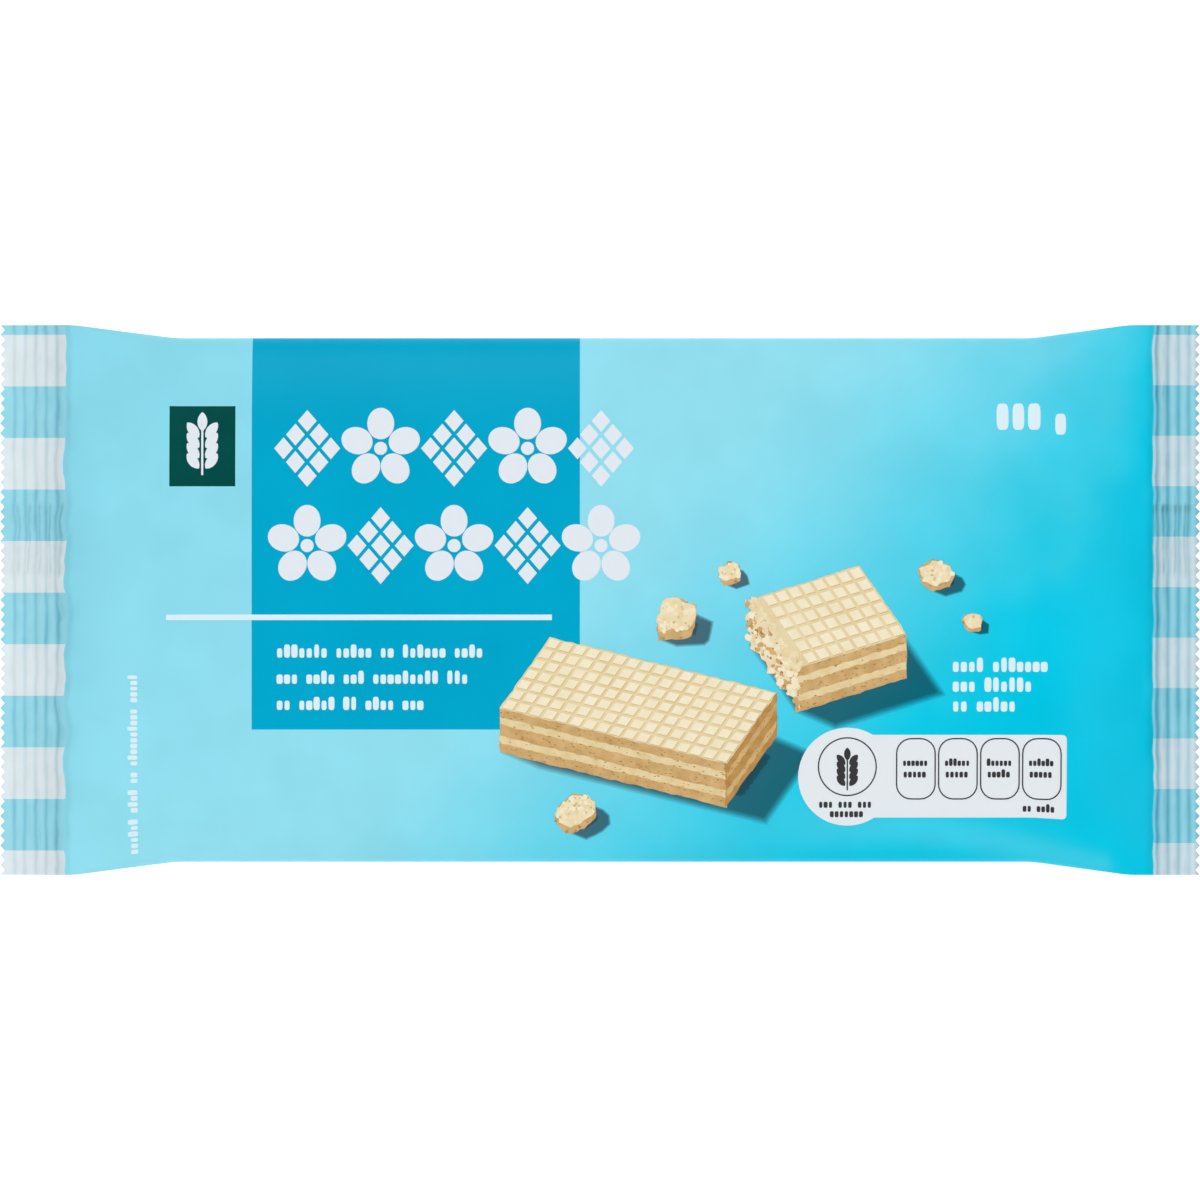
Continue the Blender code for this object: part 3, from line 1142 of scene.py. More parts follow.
@dataclass
class FilmWrap:
    """The tube of printed film with its two crimped ends, as one closed form."""

    sizes: PackSizes
    form: FilmForm
    layout: PrintLayout
    inks: list[Material]
    rib_steps: int = 9
    root_step: float = 0.45 * MM
    ramp_step: float = 1.0 * MM
    body_step: float = 2.0 * MM
    root_zone: float = 8.0 * MM
    root_gap: float = 0.3 * MM
    neck_gap: float = 0.15 * MM
    turn_zone: float = 2.2 * MM
    turn_steps: int = 12
    chart_margin: float = 0.005
    front_chart: Point = (0.345, 0.65)
    back_chart: Point = (0.005, 0.32)

    def columns(self) -> list[float]:
        """List the sheet's columns.

        Returns:
            Their places, from the left cut to the right one.
        """
        s = self.sizes
        rib_step = s.rib_pitch / self.rib_steps
        tip = s.length / 2.0
        neck = tip - s.tooth_depth - self.neck_gap
        marks = [s.left_root, s.left_root + self.root_zone, s.left_root + s.front_ramp]
        marks += [s.right_root - s.front_ramp, s.right_root - self.root_zone, s.right_root]
        steps = self.root_step, self.ramp_step, self.body_step, self.ramp_step, self.root_step
        places = [-tip] + spread(-neck, s.left_root - self.root_gap, rib_step) + [s.left_root]
        for start, stop, step in zip(marks, marks[1:], steps):
            places += spread(start, stop, step)[1:]
        places += spread(s.right_root + self.root_gap, neck, rib_step) + [tip]
        boxes = self.layout.panel, self.layout.rule, self.layout.tile
        return with_exact(places, [edge * MM for box in boxes for edge in box[:2]], tolerance=0.3 * MM)

    def rows(self) -> list[float]:
        """List the sheet's rows, closer together where the film turns at the sides.

        Returns:
            Their places.
        """
        s = self.sizes
        count = 2 * s.teeth
        teeth = [s.row_of(s.seal_width * (index / count - 0.5)) for index in range(count + 1)]
        turns = [math.pi / 4.0 * (1.0 + index / self.turn_steps) for index in range(self.turn_steps)]
        close = [s.body_width / 2.0 - s.back_shoulder * (1.0 - math.sin(turn)) for turn in turns]
        close = [row for row in close if s.body_width / 2.0 - row < self.turn_zone]
        close = [sign * row for row in close for sign in (-1.0, 1.0)]
        places = with_exact(teeth, close, tolerance=0.05 * MM)
        exact = [s.row_of(y) for end in (-1, 1) for y in self.layout.stripe_borders(end)]
        exact += [edge * MM for box in (self.layout.rule, self.layout.tile) for edge in box[2:]]
        exact += [self.layout.panel[2] * MM, self.layout.panel_wrap * MM]
        return with_exact(places, exact, tolerance=0.25 * MM)

    def number_faces(self, mesh: Mesh) -> None:
        """Number the faces of flat film by their field of print, and chart both of its sides.

        The front fills two thirds of the chart, and the back the rest.

        Args:
            mesh: the flat film.
        """
        margin = self.chart_margin
        front = [value.value > 0.5 for value in mesh.attributes["front"].data]
        ink = mesh.attributes.new("ink", "FLOAT", "FACE")
        chart = mesh.uv_layers.new(name="OFBake")
        for face in mesh.polygons:
            upper = sum(front[index] for index in face.vertices) * 2 >= len(face.vertices)
            side = Side.FRONT if upper else Side.BACK
            found = self.layout.field_at(face.center.x, face.center.y, side, self.sizes)
            ink.data[face.index].value = found.value
            start, width = self.front_chart if upper else self.back_chart
            for corner in face.loop_indices:
                spot = mesh.vertices[mesh.loops[corner].vertex_index].co
                along = margin + (1.0 - 2.0 * margin) * (spot.x / self.sizes.length + 0.5)
                chart.data[corner].uv = along, start + width * (spot.y / self.sizes.body_width + 0.5)

    def bend(self, name: str, flat: Mesh, inks: list[Material]) -> None:
        """Bend flat film into the pack and ink its fields.

        Args:
            name: name of the piece.
            flat: the flat film.
            inks: its inks, in the order of the print's fields.
        """
        tree, given = tree_with_inputs(name, {})
        bent = {"Geometry": given.Geometry, "front": attribute(tree, "front")}
        wrap = add_node(tree, "GeometryNodeGroup", bent, node_tree=self.form.group)
        set_inks(tree, wrap.outputs[0], inks)
        settle(grow(name, flat, tree), sharp_angle=50.0)

    def build(self) -> None:
        """Lay out the film flat, number its fields of print and bend it into the pack."""
        level = (lambda y: 0.0, lambda y: 0.0)
        sides = Side.FRONT, Side.BACK
        flat = flat_slab("film_wrap", self.columns(), self.rows(), self.sizes, level, sides)
        self.number_faces(flat)
        self.bend("film_wrap", flat, self.inks)


@dataclass
class FinSeal:
    """The long seal on the back: two edges of film, crimped together and folded flat."""

    film: FilmWrap
    ink: CrimpedGround
    row_step: float = 0.2 * MM
    outer_lift: float = 0.34 * MM
    inner_lift: float = 0.1 * MM
    crimp_depth: float = 0.17 * MM
    fold_width: float = 0.9 * MM

    def outer(self, y: float) -> float:
        """Work out the outer face, with its long shallow crimp ribs.

        Args:
            y: the place across the pack.

        Returns:
            How far the face stands out of the back there.
        """
        sizes = self.film.sizes
        margin = min(y - sizes.fin_fold, sizes.fin_edge - y) - self.ink.rib_margin
        wave = (1.0 - math.cos(math.tau * margin / self.ink.rib_pitch)) / 2.0
        return self.outer_lift - (self.crimp_depth * wave if margin > 0.0 else 0.0)

    def inner(self, y: float) -> float:
        """Return how far the inner face stands out of the back at y: the fold joins the film."""
        past = (y - self.film.sizes.fin_fold) / self.fold_width
        return self.inner_lift if past > 1.0 else -self.inner_lift + 2.0 * self.inner_lift * past

    def build(self) -> None:
        """Make the seal."""
        sizes = self.film.sizes
        rows = spread(sizes.fin_fold, sizes.fin_edge, self.row_step)
        lifts, sides = (self.inner, self.outer), (Side.BACK, Side.BACK)
        flat = flat_slab("fin_seal", self.film.columns(), rows, sizes, lifts, sides)
        self.film.number_faces(flat)
        for number in flat.attributes["ink"].data:
            if number.value == PrintField.GROUND.value:
                number.value = PrintField.CRIMPED_GROUND.value
        self.film.bend("fin_seal", flat, self.film.inks + [self.ink.material()])


def oval(
    centre: Point, across: float, along: float, tilt: float = 0.0, points: int = 20, pointed: float = 0.0
) -> Outline:
    """Outline an oval.

    Args:
        centre: its centre.
        across: half of its width.
        along: half of its height.
        tilt: turn to the left, in degrees.
        points: number of its points.
        pointed: how pointed its upper and lower ends are.

    Returns:
        The outline.
    """
    turn = math.radians(tilt)
    outline = []
    for index in range(points):
        angle = math.tau * index / points
        x = across * math.cos(angle) * abs(math.cos(angle)) ** pointed
        y = along * math.sin(angle)
        spot = x * math.cos(turn) - y * math.sin(turn), x * math.sin(turn) + y * math.cos(turn)
        outline.append((centre[0] + spot[0], centre[1] + spot[1]))
    return outline


def grain(centre: Point, across: float, along: float, tilt: float = 0.0) -> Outline:
    """Outline a grain of wheat, which is an oval pointed at both ends."""
    return oval(centre, across, along, tilt, points=16, pointed=0.5)


def round_box(
    left: float, right: float, low: float, high: float, corner: float, points: int = 5
) -> Outline:
    """Outline a box with round corners.

    Args:
        left: its left edge.
        right: its right edge.
        low: its lower edge.
        high: its upper edge.
        corner: radius of its corners.
        points: number of points on each corner.

    Returns:
        The outline.
    """
    outline = []
    centres = (right - corner, high - corner), (left + corner, high - corner)
    centres += (left + corner, low + corner), (right - corner, low + corner)
    for index, (x, y) in enumerate(centres):
        for step in range(points):
            angle = math.pi / 2.0 * (index + step / (points - 1))
            outline.append((x + corner * math.cos(angle), y + corner * math.sin(angle)))
    return outline


# One mark of a row: a square with round corners, a millimetre wide before it is scaled.
MARK = round_box(-0.5, 0.5, -0.5, 0.5, 0.28, 4)


def is_inside(spot: Point, outlines: list[Outline]) -> bool:
    """Tell whether a spot is inside outlines.

    Args:
        spot: the spot.
        outlines: the outlines, where one within another is a hole.

    Returns:
        True when it is inside.
    """
    crossings = 0
    for outline in outlines:
        for start, end in zip(outline, outline[1:] + outline[:1]):
            if (start[1] > spot[1]) != (end[1] > spot[1]):
                x = start[0] + (spot[1] - start[1]) / (end[1] - start[1]) * (end[0] - start[0])
                crossings += spot[0] < x
    return crossings % 2 == 1


def divided(outline: Outline, spacing: float) -> Outline:
    """Add points to an outline so that its edges are short.

    Args:
        outline: the outline.
        spacing: the most that two of its points are apart afterwards.

    Returns:
        The finer outline.
    """
    result = []
    for start, end in zip(outline, outline[1:] + outline[:1]):
        count = max(1, math.ceil(math.dist(start, end) / spacing))
        for index in range(count):
            part = index / count
            result.append((start[0] + part * (end[0] - start[0]), start[1] + part * (end[1] - start[1])))
    return result


def inset(outline: Outline, distance: float) -> Outline:
    """Draw an outline in.

    Args:
        outline: an outline that runs anticlockwise.
        distance: how far each of its points moves in.

    Returns:
        The smaller outline.
    """
    result = []
    for before, spot, after in zip(outline[-1:] + outline[:-1], outline, outline[1:] + outline[:1]):
        x, y = after[0] - before[0], after[1] - before[1]
        length = max(math.hypot(x, y), 1e-6)
        result.append((spot[0] - distance * y / length, spot[1] + distance * x / length))
    return result


def extent(spots: list) -> list:
    """Return the lowest and the highest place of some spots along X and Y."""
    return [[pick(spot[axis] for spot in spots) for axis in (0, 1)] for pick in (min, max)]


def clearance(spot: Point, border: Outline) -> float:
    """Return the distance of a spot from the nearest point of a border."""
    return min(math.dist(spot, near) for near in border)


def inner_points(outlines: list[Outline], border: Outline, spacing: float, margin: float) -> Outline:
    """Fill outlines with evenly spaced spots.

    Args:
        outlines: the outlines, where one within another is a hole.
        border: all of their points.
        spacing: distance of the spots.
        margin: the least distance of a spot from the border.

    Returns:
        The spots.
    """
    low, high = extent(border)
    spots = []
    for row in range(int((high[1] - low[1]) / spacing)):
        for column in range(int((high[0] - low[0]) / spacing) + 1):
            spot = low[0] + (column + row % 2 / 2.0) * spacing, low[1] + (row + 0.5) * spacing
            if is_inside(spot, outlines) and clearance(spot, border) > margin:
                spots.append(spot)
    return spots


def slab(
    name: str,
    outlines: list[Outline],
    top: float = 0.04,
    base: float = -0.05,
    spacing: float = 1.2,
    rim: float = 0.0,
    shades: Point = (0.0, 0.0),
) -> Mesh:
    """Fill outlines as a thin closed slab that is fine enough to bend with the film.

    Args:
        name: name of the mesh.
        outlines: the outlines in millimetres, where one within another is a hole.
        top: height of its upper face over the film.
        base: height of its lower face, which is hidden in the film.
        spacing: distance of its inner points.
        rim: width of the rim over which the attribute "shade" changes, and the edge dips under.
        shades: that attribute at the outline and inside the rim.

    Returns:
        The slab.
    """
    points, edges = [], []
    for outline in outlines:
        ring = divided(outline, min(spacing, rim or spacing))
        edges += [(len(points) + i, len(points) + (i + 1) % len(ring)) for i in range(len(ring))]
        points += ring
    border = list(points)
    for depth in (rim / 3.0, rim * 2.0 / 3.0, rim) if rim else ():
        ring = [spot for spot in inset(border, depth) if is_inside(spot, outlines)]
        points += [spot for spot in ring if clearance(spot, border) > 0.9 * depth]
    points += inner_points(outlines, border, spacing, max(spacing / 2.0, 1.2 * rim))
    spots, _, faces, *_ = delaunay_2d_cdt([Vector(spot) for spot in points], edges, [], 0, 1e-5)
    shape = bmesh.new()
    shade = shape.verts.layers.float.new("shade")
    corners = [shape.verts.new((spot.x * MM, spot.y * MM, top * MM)) for spot in spots]
    for corner, spot in zip(corners, spots):
        depth = min(clearance(spot, border) / rim, 1.0) if rim else 1.0
        corner[shade] = shades[0] + (shades[1] - shades[0]) * depth * depth * (3.0 - 2.0 * depth)
        corner.co.z -= (1.0 - depth) * RIM_DIP
    for face in faces:
        centre = sum((spots[index] for index in face), Vector((0.0, 0.0))) / len(face)
        if is_inside(centre, outlines):
            shape.faces.new([corners[index] for index in face])
    raised = bmesh.ops.extrude_face_region(shape, geom=shape.faces[:])
    for item in raised["geom"]:
        if isinstance(item, bmesh.types.BMVert):
            item.co.z = base * MM
    bmesh.ops.recalc_face_normals(shape, faces=shape.faces[:])
    mesh = bpy.data.meshes.new(name)
    shape.to_mesh(mesh)
    shape.free()
    return mesh


@dataclass(frozen=True)
class EvenRows:
    """Places in even rows, in millimetres."""

    start_x: float
    start_y: float
    step_x: float
    step_y: float
    count: float
    row_step_x: float = 0.0
    row_step_y: float = 0.0
    rows: float = 1.0


@dataclass(frozen=True)
class WordRow:
    """A row of plain marks in groups, with the size and rhythm of small print and no letters.

    Sizes are in millimetres, and the turn is in degrees to the left.
    """

    start_x: float
    start_y: float
    length: float
    height: float
    seed: float
    turn: float = 0.0
    pitch: float = 0.8
    gaps: float = 0.24
    tall: float = 0.3

    def moved(self, x: float, y: float, order: int = 0) -> "WordRow":
        """Move the row, and move its seed on by its order among its like."""
        return replace(self, start_x=self.start_x + x, start_y=self.start_y + y, seed=self.seed + order)


@dataclass(frozen=True)
class Scatter:
    """Places strewn over a flat shape, so many to a square centimetre.

    The shapes there are turned by up to a part of a full turn from their direction, in degrees.
    """

    region: Mesh
    density: float
    smallest: float
    largest: float
    seed: float
    direction: float = 0.0
    part_turn: float = 1.0


@dataclass(frozen=True)
class Layer:
    """A flat shape in one ink, printed once as it lies or at each place of a setting."""

    shape: Mesh
    ink: Material
    setting: EvenRows | WordRow | Scatter | None = None


def copied(tree: NodeTree, points: NodeSocket, shape: NodeSocket, **inputs: object) -> NodeSocket:
    """Copy a shape to points, with inputs for its selection, scale and rotation, as real shapes."""
    placed = add_node(tree, "GeometryNodeInstanceOnPoints", {"Points": points, "Instance": shape, **inputs})
    return add_node(tree, "GeometryNodeRealizeInstances", {0: placed.outputs[0]}).outputs[0]


@dataclass
class Press:
    """Prints flat shapes on the film: sets them at their places, bends them and inks them."""

    form: FilmForm
    tall_gain: float = 0.42
    mark_width: float = 0.62
    mark_spread: float = 0.26
    scatter_lift: float = 0.7
    chart_margin: float = 0.01
    groups: dict[type, NodeTree] = field(init=False)

    def __post_init__(self) -> None:
        """Build the node groups that set a shape at its places."""
        self.groups = {EvenRows: self._even_rows(), WordRow: self._word_row(), Scatter: self._scatter()}

    def _even_rows(self) -> NodeTree:
        """Build the group that sets a shape at even rows of places.

        Returns:
            The group.
        """
        tree, given = tree_with_inputs("even_rows", dict.fromkeys(number_names(EvenRows), 1.0))
        rows = (given.start_x, given.start_y, given.row_step_x, given.row_step_y, given.rows)
        columns = (0.0, 0.0, given.step_x, given.step_y, given.count)
        lines = []
        for start_x, start_y, step_x, step_y, count in (rows, columns):
            start = add_node(tree, "ShaderNodeCombineXYZ", {0: start_x * MM, 1: start_y * MM})
            step = add_node(tree, "ShaderNodeCombineXYZ", {0: step_x * MM, 1: step_y * MM})
            line = {"Count": count, "Start Location": start.outputs[0], "Offset": step.outputs[0]}
            lines.append(add_node(tree, "GeometryNodeMeshLine", line).outputs[0])
        geometry = copied(tree, copied(tree, *lines), given.Geometry)
        add_node(tree, "NodeGroupOutput", {0: geometry})
        return tree

    def _word_row(self) -> NodeTree:
        """Build the group that sets a one millimetre mark along a line, in words of chance length.

        Returns:
            The group.
        """
        tree, given = tree_with_inputs("word_row", dict.fromkeys(number_names(WordRow), 1.0))
        step = given.height * given.pitch
        offset = add_node(tree, "ShaderNodeCombineXYZ", {0: step * MM})
        line = {"Count": (given.length / step).through("ROUND"), "Offset": offset.outputs[0]}
        points = add_node(tree, "GeometryNodeMeshLine", line).outputs[0]
        place = Field(tree, add_node(tree, "GeometryNodeInputIndex").outputs[0])
        chances = []
        for order, back in ((0.0, 0.0), (0.0, 1.0), (0.0, 2.0), (1.0, 0.0), (2.0, 0.0)):
            lot = {"ID": place - back, "Seed": given.seed * 3.0 + order}
            chances.append(Field(tree, add_node(tree, "FunctionNodeRandomValue", lot).outputs[1]))
        gap = chances[0].through("LESS_THAN", given.gaps) * place.through("GREATER_THAN", 1.5)
        gap *= chances[1].through("GREATER_THAN", given.gaps)
        gap *= chances[2].through("GREATER_THAN", given.gaps)
        tall = chances[3].through("LESS_THAN", given.tall) * self.tall_gain
        high = given.height * (1.0 + tall)
        size = {0: step * (self.mark_width + self.mark_spread * chances[4]), 1: high, 2: 1.0}
        size = add_node(tree, "ShaderNodeCombineXYZ", size).outputs[0]
        centre = add_node(tree, "ShaderNodeCombineXYZ", {1: high * (MM / 2.0)})
        raised = {"Geometry": points, "Offset": centre.outputs[0]}
        points = add_node(tree, "GeometryNodeSetPosition", raised).outputs[0]
        marks = copied(tree, points, given.Geometry, Selection=1.0 - gap, Scale=size)
        start = {0: given.start_x * MM, 1: given.start_y * MM}
        start = add_node(tree, "ShaderNodeCombineXYZ", start)
        turn = add_node(tree, "ShaderNodeCombineXYZ", {2: given.turn * math.radians(1.0)})
        moved = {"Geometry": marks, "Translation": start.outputs[0], "Rotation": turn.outputs[0]}
        moved = add_node(tree, "GeometryNodeTransform", moved).outputs[0]
        add_node(tree, "NodeGroupOutput", {0: moved})
        return tree

    def _scatter(self) -> NodeTree:
        """Build the group that strews a shape over the upper face of another.

        Each copy has a height of its own, so that no two of them lie in one plane.

        Returns:
            The group.
        """
        numbers = dict.fromkeys(number_names(Scatter), 1.0)
        tree, given = tree_with_inputs("scatter", numbers, ("Geometry", "Region"))
        normal = add_node(tree, "GeometryNodeInputNormal").outputs[0]
        up = Field(tree, add_node(tree, "ShaderNodeSeparateXYZ", {0: normal}).outputs[2])
        spots = {"Mesh": given.Region, "Selection": up.through("GREATER_THAN", 0.5)}
        spots.update({"Density": given.density * 1.0e4, "Seed": given.seed})
        points = add_node(tree, "GeometryNodeDistributePointsOnFaces", spots).outputs[0]
        size = {2: given.smallest, 3: given.largest, 8: given.seed}
        size = add_node(tree, "FunctionNodeRandomValue", size).outputs[1]
        chances = []
        for order in (7.0, 9.0):
            lot = add_node(tree, "FunctionNodeRandomValue", {8: given.seed + order})
            chances.append(Field(tree, lot.outputs[1]))
        angle = given.direction * math.radians(1.0) + (chances[0] - 0.5) * given.part_turn * math.tau
        turn = add_node(tree, "ShaderNodeCombineXYZ", {2: angle}).outputs[0]
        flat = {0: size, 1: size, 2: 1.0 + self.scatter_lift * chances[1]}
        flat = add_node(tree, "ShaderNodeCombineXYZ", flat).outputs[0]
        strewn = copied(tree, points, given.Geometry, Rotation=turn, Scale=flat)
        add_node(tree, "NodeGroupOutput", {0: strewn})
        return tree

    def _set_out(self, tree: NodeTree, layer: Layer, carriers: list[Object]) -> NodeSocket:
        """Add the nodes that set one layer's shape at its places.

        Args:
            tree: the piece's tree.
            layer: the layer.
            carriers: list that takes the objects which carry its shapes into the tree.

        Returns:
            The socket of the layer's geometry.
        """
        setting = layer.setting
        meshes = [layer.shape] + ([setting.region] if isinstance(setting, Scatter) else [])
        shapes = []
        for mesh in meshes:
            carriers.append(new_object(mesh.name, mesh))
            info = add_node(tree, "GeometryNodeObjectInfo", {"Object": carriers[-1]})
            shapes.append(info.outputs["Geometry"])
        if setting is None:
            return shapes[0]
        inputs = dict(zip(("Geometry", "Region"), shapes))
        inputs.update({name: float(getattr(setting, name)) for name in number_names(setting)})
        group = self.groups[type(setting)]
        return add_node(tree, "GeometryNodeGroup", inputs, node_tree=group).outputs[0]

    def run(self, name: str, layers: list[Layer], chart: bool = False) -> None:
        """Print layers on the film as one piece.

        Args:
            name: name of the piece.
            layers: what to print.
            chart: whether its inks vary, so that it needs a chart of its own.
        """
        tree, _ = tree_with_inputs(name, {})
        inks = list(dict.fromkeys(layer.ink for layer in layers))
        gathered = add_node(tree, "GeometryNodeJoinGeometry")
        carriers: list[Object] = []
        for layer in layers:
            number = {"Geometry": self._set_out(tree, layer, carriers), "Name": "ink"}
            number["Value"] = float(inks.index(layer.ink))
            settings = {"data_type": "FLOAT", "domain": "FACE"}
            marked = add_node(tree, "GeometryNodeStoreNamedAttribute", number, **settings)
            tree.links.new(marked.outputs[0], gathered.inputs[0])
        bent = {"Geometry": gathered.outputs[0]}
        bent = add_node(tree, "GeometryNodeGroup", bent, node_tree=self.form.group)
        set_inks(tree, bent.outputs[0], inks)
        piece = grow(name, bpy.data.meshes.new(name), tree)
        for carrier in carriers:
            bpy.data.objects.remove(carrier)
        if chart:
            self._chart(piece.data)
        settle(piece, sharp_angle=40.0)

    def _chart(self, mesh: Mesh) -> None:
        """Give a mesh a chart that looks straight down on it.

        Args:
            mesh: the mesh.
        """
        low, high = extent([vertex.co for vertex in mesh.vertices])
        size = max(high[0] - low[0], high[1] - low[1])
        margin = self.chart_margin
        within = 1.0 - 2.0 * margin
        chart = mesh.uv_layers.new(name="OFBake")
        for loop in mesh.loops:
            spot = mesh.vertices[loop.vertex_index].co
            place = [margin + within * (spot[axis] - low[axis]) / size for axis in (0, 1)]
            chart.data[loop.index].uv = place


@dataclass
class TitleOrnament:
    """Two rows of white waffle diamonds and blossoms, in turn, over the middle of the panel."""

    press: Press
    ink: Material
    centre_x: float = -27.6
    row_height: tuple = (28.7, 10.3)
    pitch: float = 13.9
    per_row: int = 5
    half_diamond: Point = (6.7, 7.8)
    lattice: int = 3
    lattice_gap: float = 0.9
    petals: int = 5
    petal_reach: float = 4.7
    petal_size: Point = (2.55, 3.0)
    heart: float = 1.25

    def diamond(self) -> list[Outline]:
        """Outline a diamond made of smaller ones.

        Returns:
            The outlines.
        """
        across, along = (size / self.lattice for size in self.half_diamond)
        shrink = 1.0 - self.lattice_gap / (2.0 * min(across, along))
        outlines = []
        for i in range(self.lattice):
            for j in range(self.lattice):
                x, y = (i - j) * across, (i + j - self.lattice + 1) * along
                corners = ((across, 0.0), (0.0, along), (-across, 0.0), (0.0, -along))
                outlines.append([(x + shrink * dx, y + shrink * dy) for dx, dy in corners])
        return outlines

    def blossom(self) -> list[Outline]:
        """Outline a blossom.

        Returns:
            The outlines of its heart and of the petals round it.
        """
        outlines = [oval((0.0, 0.0), self.heart, self.heart, points=16)]
        for index in range(self.petals):
            turn = 360.0 * index / self.petals
            angle = math.radians(turn + 90.0)
            centre = self.petal_reach * math.cos(angle), self.petal_reach * math.sin(angle)
            outlines.append(oval(centre, *self.petal_size, tilt=turn, points=28))
        return outlines

    def build(self) -> None:
        """Print the ornament."""
        shapes = slab("waffle_diamond", self.diamond()), slab("blossom", self.blossom())
        layers = []
        start = self.centre_x - self.pitch * (self.per_row - 1) / 2.0
        for row, height in enumerate(self.row_height):
            for order, shape in enumerate(shapes):
                first = (order + row) % 2
                count = (self.per_row + 1 - first) // 2
                rows = EvenRows(start + first * self.pitch, height, 2.0 * self.pitch, 0.0, count)
                layers.append(Layer(shape, self.ink, rows))
        self.press.run("title_ornament", layers)


@dataclass(frozen=True)
class WheatEar:
    """A plain ear of wheat: a stalk with pairs of grains and one at its tip."""

    pairs: int = 4
    grain_size: Point = (0.95, 1.8)
    grain_tilt: float = 38.0
    grain_reach: float = 1.75
    grain_step: float = 1.95
    tip_gap: float = 0.35
    stalk: Point = (0.2, 2.7)

    def layers(self, name: str, ink: Material, foot: Point, scale: float, top: float) -> list[Layer]:
        """Lay out an ear.

        Args:
            name: name for its shapes.
            ink: its ink.
            foot: the place of the stalk's lower end, in millimetres.
            scale: its size against the plain one.
            top: height of its upper face over the film, in millimetres.

        Returns:
            Its layers.
        """
        width, length = self.grain_size
        layers = []
        first = foot[1] + scale * self.stalk[1]
        for side in (-1.0, 1.0):
            shape = grain((0.0, 0.0), scale * width, scale * length, -side * self.grain_tilt)
            x = foot[0] + side * scale * self.grain_reach
            rows = EvenRows(x, first, 0.0, scale * self.grain_step, self.pairs)
            layers.append(Layer(slab(f"{name}_grain", [shape], top, -0.02, 1.0), ink, rows))
        tip = foot[0], first + scale * (self.grain_step * self.pairs - self.tip_gap)
        half = scale * self.stalk[0]
        stalk = round_box(foot[0] - half, foot[0] + half, foot[1], tip[1], half * 0.9)
        shapes = [stalk], [grain(tip, scale * width, scale * length)]
        return layers + [Layer(slab(f"{name}_stalk", shape, top, -0.02, 1.0), ink) for shape in shapes]


@dataclass
class SmallPrint:
    """The rows of small white marks: two blocks, an upright row and a pair of large ones.

    A block is its first line, the pitch of its lines and the length of each.
    """

    press: Press
    ink: Material
    blocks: tuple = (
        (WordRow(-60.6, -10.9, 39.4, 1.75, 11.0), 4.95, (39.4, 36.4, 28.4)),
        (WordRow(67.3, -13.6, 18.6, 1.9, 31.0, tall=0.36), 3.75, (18.6, 15.4, 12.6)),
    )
    upright: WordRow = WordRow(-87.6, -47.0, 33.6, 1.35, 51.0, turn=90.0)
    large_pair: tuple = (
        WordRow(76.2, 32.2, 8.9, 5.0, 61.0, pitch=0.6, gaps=0.0, tall=0.0),
        WordRow(87.2, 31.2, 2.4, 3.9, 62.0, pitch=0.7, gaps=0.0, tall=0.0),
    )

    def build(self) -> None:
        """Print the lines."""
        mark = slab("small_mark", [MARK], 0.04, -0.05, 2.0)
        large_mark = slab("large_mark", [MARK], 0.04, -0.05, 0.25)
        rows = []
        for first, pitch, lengths in self.blocks:
            for order, length in enumerate(lengths):
                rows.append(replace(first.moved(0.0, -pitch * order, order), length=length))
        layers = [Layer(mark, self.ink, row) for row in rows + [self.upright]]
        layers += [Layer(large_mark, self.ink, row) for row in self.large_pair]
        self.press.run("small_print", layers)


